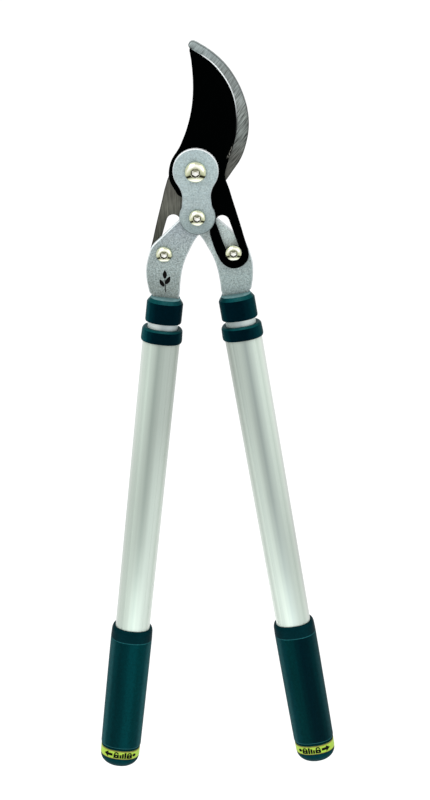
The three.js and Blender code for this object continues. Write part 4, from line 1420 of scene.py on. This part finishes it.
def upper_collar(side, prefix):
    """Collar at the top of the tubes, slotted for the bracket."""
    shell = Shell(ends=(UP, DOWN))
    shell.loft(*rings_and_spans(COLLAR_PROFILE))
    corners = [(11.4, 2.85), (-11.4, 2.85), (-11.4, -2.85), (11.4, -2.85)]
    slot = counterclockwise(smooth(corners, corner=40, step=0.8))[::-1].copy()
    mouth = at_station(inset(slot, 0.25), 72.5)
    shell.loft([mouth, at_station(slot, 72.75), at_station(slot, 76.2)], [("R", 1), ("F", 0)])
    shell.close(first=2)
    materials = [COLLAR[side], COLLAR_CHAMFER_HIGHLIGHT[side], COLLAR_TOP_HIGHLIGHT]
    shell.build(prefix + "upper_collar", "collar_teal", materials, handle_place(side))


def end_cap(side, prefix):
    """Cap with a groove for the colour band, a blind hole from above and a domed bottom."""
    dome_start, dome_end = 543.0, 557.3
    steps = 16
    profile = list(CAP_PROFILE)
    for i in range(steps + 1):
        angle = math.radians(3 + 85.5 * i / steps)
        shrink = math.cos(angle) ** 0.92
        down = dome_start + (dome_end - dome_start) * math.sin(angle)
        power = OVAL_POWER - 0.3 * i / steps
        profile.append((down, 18.5 * shrink, 13.1 * shrink, power, "R", 0))
    shell = Shell(ends=(UP, DOWN))
    shell.loft(*rings_and_spans(profile))
    shell.close()
    shell.build(prefix + "end_cap", "grip_teal", [CAP], handle_place(side))


# ------------------------------------------------------------------ printed marks
PRINT_STEP = 0.6
PRINT_HEIGHT = 0.10


def inside(loop, x, y):
    hit = False
    for i, (x1, y1) in enumerate(loop):
        x2, y2 = loop[(i + 1) % len(loop)]
        if (y1 > y) != (y2 > y) and x < (x2 - x1) * (y - y1) / (y2 - y1) + x1:
            hit = not hit
    return hit


def inside_shape(loops, x, y):
    return inside(loops[0], x, y) and not any(inside(hole, x, y) for hole in loops[1:])


def triangulate(loops):
    """Points and counterclockwise triangles of a flat shape, with a grid of points inside."""
    points, edges = [], []
    for loop in loops:
        dense = densify(loop, PRINT_STEP)
        base = len(points)
        points += dense
        edges += [(base + i, base + (i + 1) % len(dense)) for i in range(len(dense))]
    border = list(points)
    right, top = max(x for x, _ in border), max(y for _, y in border)
    x = min(x for x, _ in border) + PRINT_STEP / 2
    while x < right:
        y = min(y for _, y in border) + PRINT_STEP / 2
        while y < top:
            clearance = min(math.dist((x, y), point) for point in border)
            if clearance > PRINT_STEP * 0.55 and inside_shape(loops, x, y):
                points.append((x, y))
            y += PRINT_STEP
        x += PRINT_STEP
    result = geometry.delaunay_2d_cdt([Vector(p) for p in points], edges, [], 0, 1e-6)
    places = [tuple(place) for place in result[0]]
    triangles = []
    for ids in result[2]:
        a, b, c = (places[i] for i in ids)
        if inside_shape(loops, (a[0] + b[0] + c[0]) / 3, (a[1] + b[1] + c[1]) / 3):
            turn = (b[0] - a[0]) * (c[1] - a[1]) - (c[0] - a[0]) * (b[1] - a[1])
            triangles.append(tuple(ids) if turn > 0 else (ids[0], ids[2], ids[1]))
    return places, triangles


def printed(name, shapes, surface, matrix):
    """Thin closed solids, one for each shape, which is an outer loop and then its holes.
    surface(u, v, height) gives the point at that height over the printed surface."""
    vertices, faces = [], []
    for loops in shapes:
        places, triangles = triangulate(loops)
        top = len(vertices)
        under = top + len(places)
        vertices += [surface(u, v, PRINT_HEIGHT) for u, v in places]
        vertices += [surface(u, v, -PRINT_HEIGHT) for u, v in places]
        sides = {}
        for a, b, c in triangles:
            faces.append((top + a, top + b, top + c))
            faces.append((under + a, under + c, under + b))
            sides.update({(a, b): True, (b, c): True, (c, a): True})
        for a, b in sides:
            if (b, a) not in sides:
                faces.append((top + a, under + a, under + b, top + b))
    mesh = bpy.data.meshes.new(name)
    mesh.from_pydata([(x * MM, y * MM, z * MM) for x, y, z in vertices], [], faces)
    mesh.materials.append(INK)
    mesh.update()
    # drop points that no face uses, and turn the faces out
    editable = bmesh.new()
    editable.from_mesh(mesh)
    loose = [vertex for vertex in editable.verts if not vertex.link_faces]
    bmesh.ops.delete(editable, geom=loose, context="VERTS")
    bmesh.ops.recalc_face_normals(editable, faces=editable.faces)
    editable.to_mesh(mesh)
    editable.free()
    return add_object(name, mesh, matrix)


def disc(x, y, radius, count=20):
    angles = [2 * math.pi * i / count for i in range(count)]
    return [(x + radius * math.cos(a), y + radius * math.sin(a)) for a in angles]


def rectangle(left, bottom, right, top):
    return [(left, bottom), (right, bottom), (right, top), (left, top)]


def padlock(x, y, is_open):
    """Padlock pictogram: a block with a keyhole, and a shackle, shut or raised."""
    body = rectangle(x - 2.6, y - 3.4, x + 2.6, y + 0.6)
    shackle_y = y + 1.1 + (0.3 if is_open else -0.1)
    right_leg_y = y + (1.2 if is_open else 0.7)
    shackle = [
        *arc(x, shackle_y, 2.2, 0, 180, 12),
        (x - 2.2, y + 0.7), (x - 0.95, y + 0.7),
        *arc(x, shackle_y, 0.95, 180, 0, 12),
        (x + 0.95, right_leg_y), (x + 2.2, right_leg_y),
    ]
    return [[body, disc(x, y - 1.4, 0.55, 14)], [shackle]]


ARROW = [
    (15.0, 0.0), (11.0, 3.4), (11.0, 1.4), (6.6, 1.4), (6.6, -1.4), (11.0, -1.4), (11.0, -3.4),
]


def band_shapes(side):
    """From the outside in: an arrow outwards, an open lock, three bars, a shut lock and a dot."""
    shapes = [[[(side * x, y) for x, y in ARROW]]]
    shapes += padlock(side * 2.9, 0.0, True)
    for i, half_height in enumerate((2.0, 2.7, 3.4)):
        x = side * (-1.2 - i * 2.3)
        shapes.append([rectangle(x - 0.9, -3.4, x + 0.9, -3.4 + 2 * half_height)])
    shapes += padlock(-side * 9.8, 0.0, False)
    shapes.append([disc(-side * 14.6, 0, 1.7)])
    return shapes


def band_surface():
    """The surface function that wraps flat marks round the front of the colour band."""
    front = -math.pi / 2
    fine = np.linspace(front - 1.75, front + 1.75, 1601)
    ring = oval(0, *BAND_SIZE, angles=fine)[:, :2]
    steps = np.linalg.norm(np.diff(ring, axis=0), axis=1)
    lengths = np.concatenate([[0], np.cumsum(steps)])
    lengths -= np.interp(front, fine, lengths)
    nudge = 1e-3
    middle = sum(BAND_SPAN) / 2

    def surface(u, v, height):
        angle = np.interp(u, lengths, fine)
        around = np.array([angle - nudge, angle + nudge])
        before, after = oval(0, *BAND_SIZE, angles=around)[:, :2]
        tangent = (after - before) / np.linalg.norm(after - before)
        outward = np.array([tangent[1], -tangent[0]])
        place = oval(0, *BAND_SIZE, angles=np.array([angle]))[0, :2] + outward * height
        return (float(place[0]), float(place[1]), float(-middle + v))

    return surface


def band_marks(side, prefix):
    marks = printed(prefix + "band_marks", band_shapes(side), band_surface(), handle_place(side))
    attach(marks, prefix + "colour_band", replace=False)


def leaf(x, z, heading, size):
    """A pointed leaf, its long axis at heading degrees."""
    cosine, sine = math.cos(math.radians(heading)), math.sin(math.radians(heading))
    points = []
    for i in range(24):
        t = i / 12 if i <= 12 else (24 - i) / 12
        flank = 1 if i <= 12 else -1
        width = 0.36 * math.sin(math.pi * t) ** 0.8 * flank * (1.15 - 0.35 * t)
        along, across = (t - 0.5) * size * 1.25, width * size * 0.8
        points.append((x + along * cosine - across * sine, z + along * sine + across * cosine))
    return points


def bracket_sprig():
    """A sprig of three leaves and a stem, printed on the front of the left bracket."""
    leaves = ((-26.4, -92.3, 62, 6.2), (-31.6, -94.5, 118, 5.8), (-28.8, -87.1, 88, 6.2))
    shapes = [[leaf(*each)] for each in leaves]
    shapes.append([[(-29.3, -102.4), (-28.6, -102.4), (-28.5, -91.4), (-29.2, -91.4)]])

    def surface(u, v, height):
        return (u, Y_BLADE[0] - height, v)

    sprig = printed("left_bracket_sprig", shapes, surface, HEAD_PLACE)
    attach(sprig, "left_bracket", replace=False)


# ------------------------------------------------------------------ assembly
def handle(side, prefix):
    tube(
        prefix + "inner_tube", side, half_width=12.75, half_depth=8.4,
        start=76.6, end=447.0, material=ALUMINIUM_INNER[side], grooves=False,
    )
    upper_collar(side, prefix)
    sweep(
        prefix + "tube_ring", "collar_teal", side,
        *rings_and_spans(TUBE_RING_PROFILE), [COLLAR[side], COLLAR_CHAMFER_HIGHLIGHT[side]],
    )
    tube(
        prefix + "outer_tube", side, half_width=15.8, half_depth=11.2,
        start=103.4, end=528.5, material=ALUMINIUM[side], grooves=True,
    )
    sweep(
        prefix + "grip", "grip_teal", side,
        *rings_and_spans(GRIP_PROFILE), [GRIP[side], GRIP_LIP, GRIP_SEAM_HIGHLIGHT],
    )
    end_cap(side, prefix)
    sweep(
        prefix + "colour_band", "band_lime", side,
        *rings_and_spans(BAND_PROFILE), [BAND, BAND_EDGE],
    )
    band_marks(side, prefix)


def dress_inner_parts():
    """Gives the CAD pieces that stay, all of them inside, their materials."""
    endings = {
        ("tang_plug", "guide_bush", "rod_bearing", "lock_expander"): PLASTIC,
        ("tang_rivet", "lock_rod", "lock_cone"): ZINC,
    }
    for name, obj in frame["nodes"].items():
        for ending, material in endings.items():
            if name.endswith(ending):
                if not obj.material_slots:
                    obj.data.materials.append(material)
                for slot in obj.material_slots:
                    slot.material = material


front_link_plate()
rear_link_plate()
cutting_blade()
hook()
for side, prefix in SIDES:
    bracket(side, prefix)
pivot_fasteners()
for side, prefix in SIDES:
    slide_fasteners(side, prefix)
for side, prefix in SIDES:
    handle(side, prefix)
bracket_sprig()
dress_inner_parts()


# ------------------------------------------------------------------ floor, light, camera (metres)
def studio_floor():
    half = 30.0
    drop = 0.262  # keeps the floor below the grips when the handles are drawn out
    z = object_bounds()[0].z - drop
    mesh = bpy.data.meshes.new("studio_floor")
    corners = [(-half, -half, z), (half, -half, z), (half, half, z), (-half, half, z)]
    mesh.from_pydata(corners, [], [(0, 1, 2, 3)])
    floor = add_object("studio_floor", mesh)
    shader = Shader("studio_floor_white", (0.93, 0.93, 0.93, 1), rough=0.9, specular=0.1)
    shader.set("Emission Color", (1.0, 1.0, 1.0, 1.0))
    shader.set("Emission Strength", 0.12)
    tone = shader.noise(scale=3.0, detail=2.0).ramp([(0.0, 0.925), (1.0, 0.935)])
    mesh.materials.append(shader.finish(tone))
    floor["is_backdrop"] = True


def white_world():
    world = bpy.data.worlds.new("studio")
    bpy.context.scene.world = world
    world.use_nodes = True
    background = world.node_tree.nodes["Background"]
    background.inputs["Color"].default_value = (1.0, 1.0, 1.0, 1)
    background.inputs["Strength"].default_value = 1.0


def area_light(name, place, target, size, power):
    light = bpy.data.lights.new(name, "AREA")
    light.shape = "RECTANGLE"
    light.size, light.size_y = size
    light.energy = power
    obj = add_object(name, light)
    obj.location = place
    obj.rotation_mode = "QUATERNION"
    obj.rotation_quaternion = (Vector(target) - Vector(place)).to_track_quat("-Z", "Y")


def camera():
    """Looks down on the front. The place is in mm from the main pivot."""
    place = Vector((55.259, -1103.681, 283.623)) * MM
    yaw, pitch, roll = math.radians(-2.4022), math.radians(23.7964), math.radians(1.9486)
    level_right = Vector((math.cos(yaw), -math.sin(yaw), 0))
    ahead = Vector((
        math.sin(yaw) * math.cos(pitch), math.cos(yaw) * math.cos(pitch), -math.sin(pitch)
    ))
    level_up = level_right.cross(ahead)
    right = level_right * math.cos(roll) - level_up * math.sin(roll)
    up = level_up * math.cos(roll) + level_right * math.sin(roll)
    data = bpy.data.cameras.new("camera")
    data.sensor_width = 36.0
    data.lens = 63.0
    data.clip_start, data.clip_end = 0.05, 100.0
    turn = Matrix((right, up, -ahead)).transposed().to_4x4()
    bpy.context.scene.camera = add_object("camera", data, Matrix.Translation(ORIGIN + place) @ turn)


studio_floor()
white_world()
area_light("key_soft_box", (-0.9, -1.3, 1.3), target=(0, 0, -0.25), size=(1.2, 1.2), power=10.0)
area_light("fill_soft_box", (1.3, -1.0, 0.5), target=(0, 0, -0.3), size=(1.0, 1.4), power=4.0)
camera()
bpy.context.scene.view_settings.view_transform = "Standard"
bpy.context.scene.view_settings.look = "None"
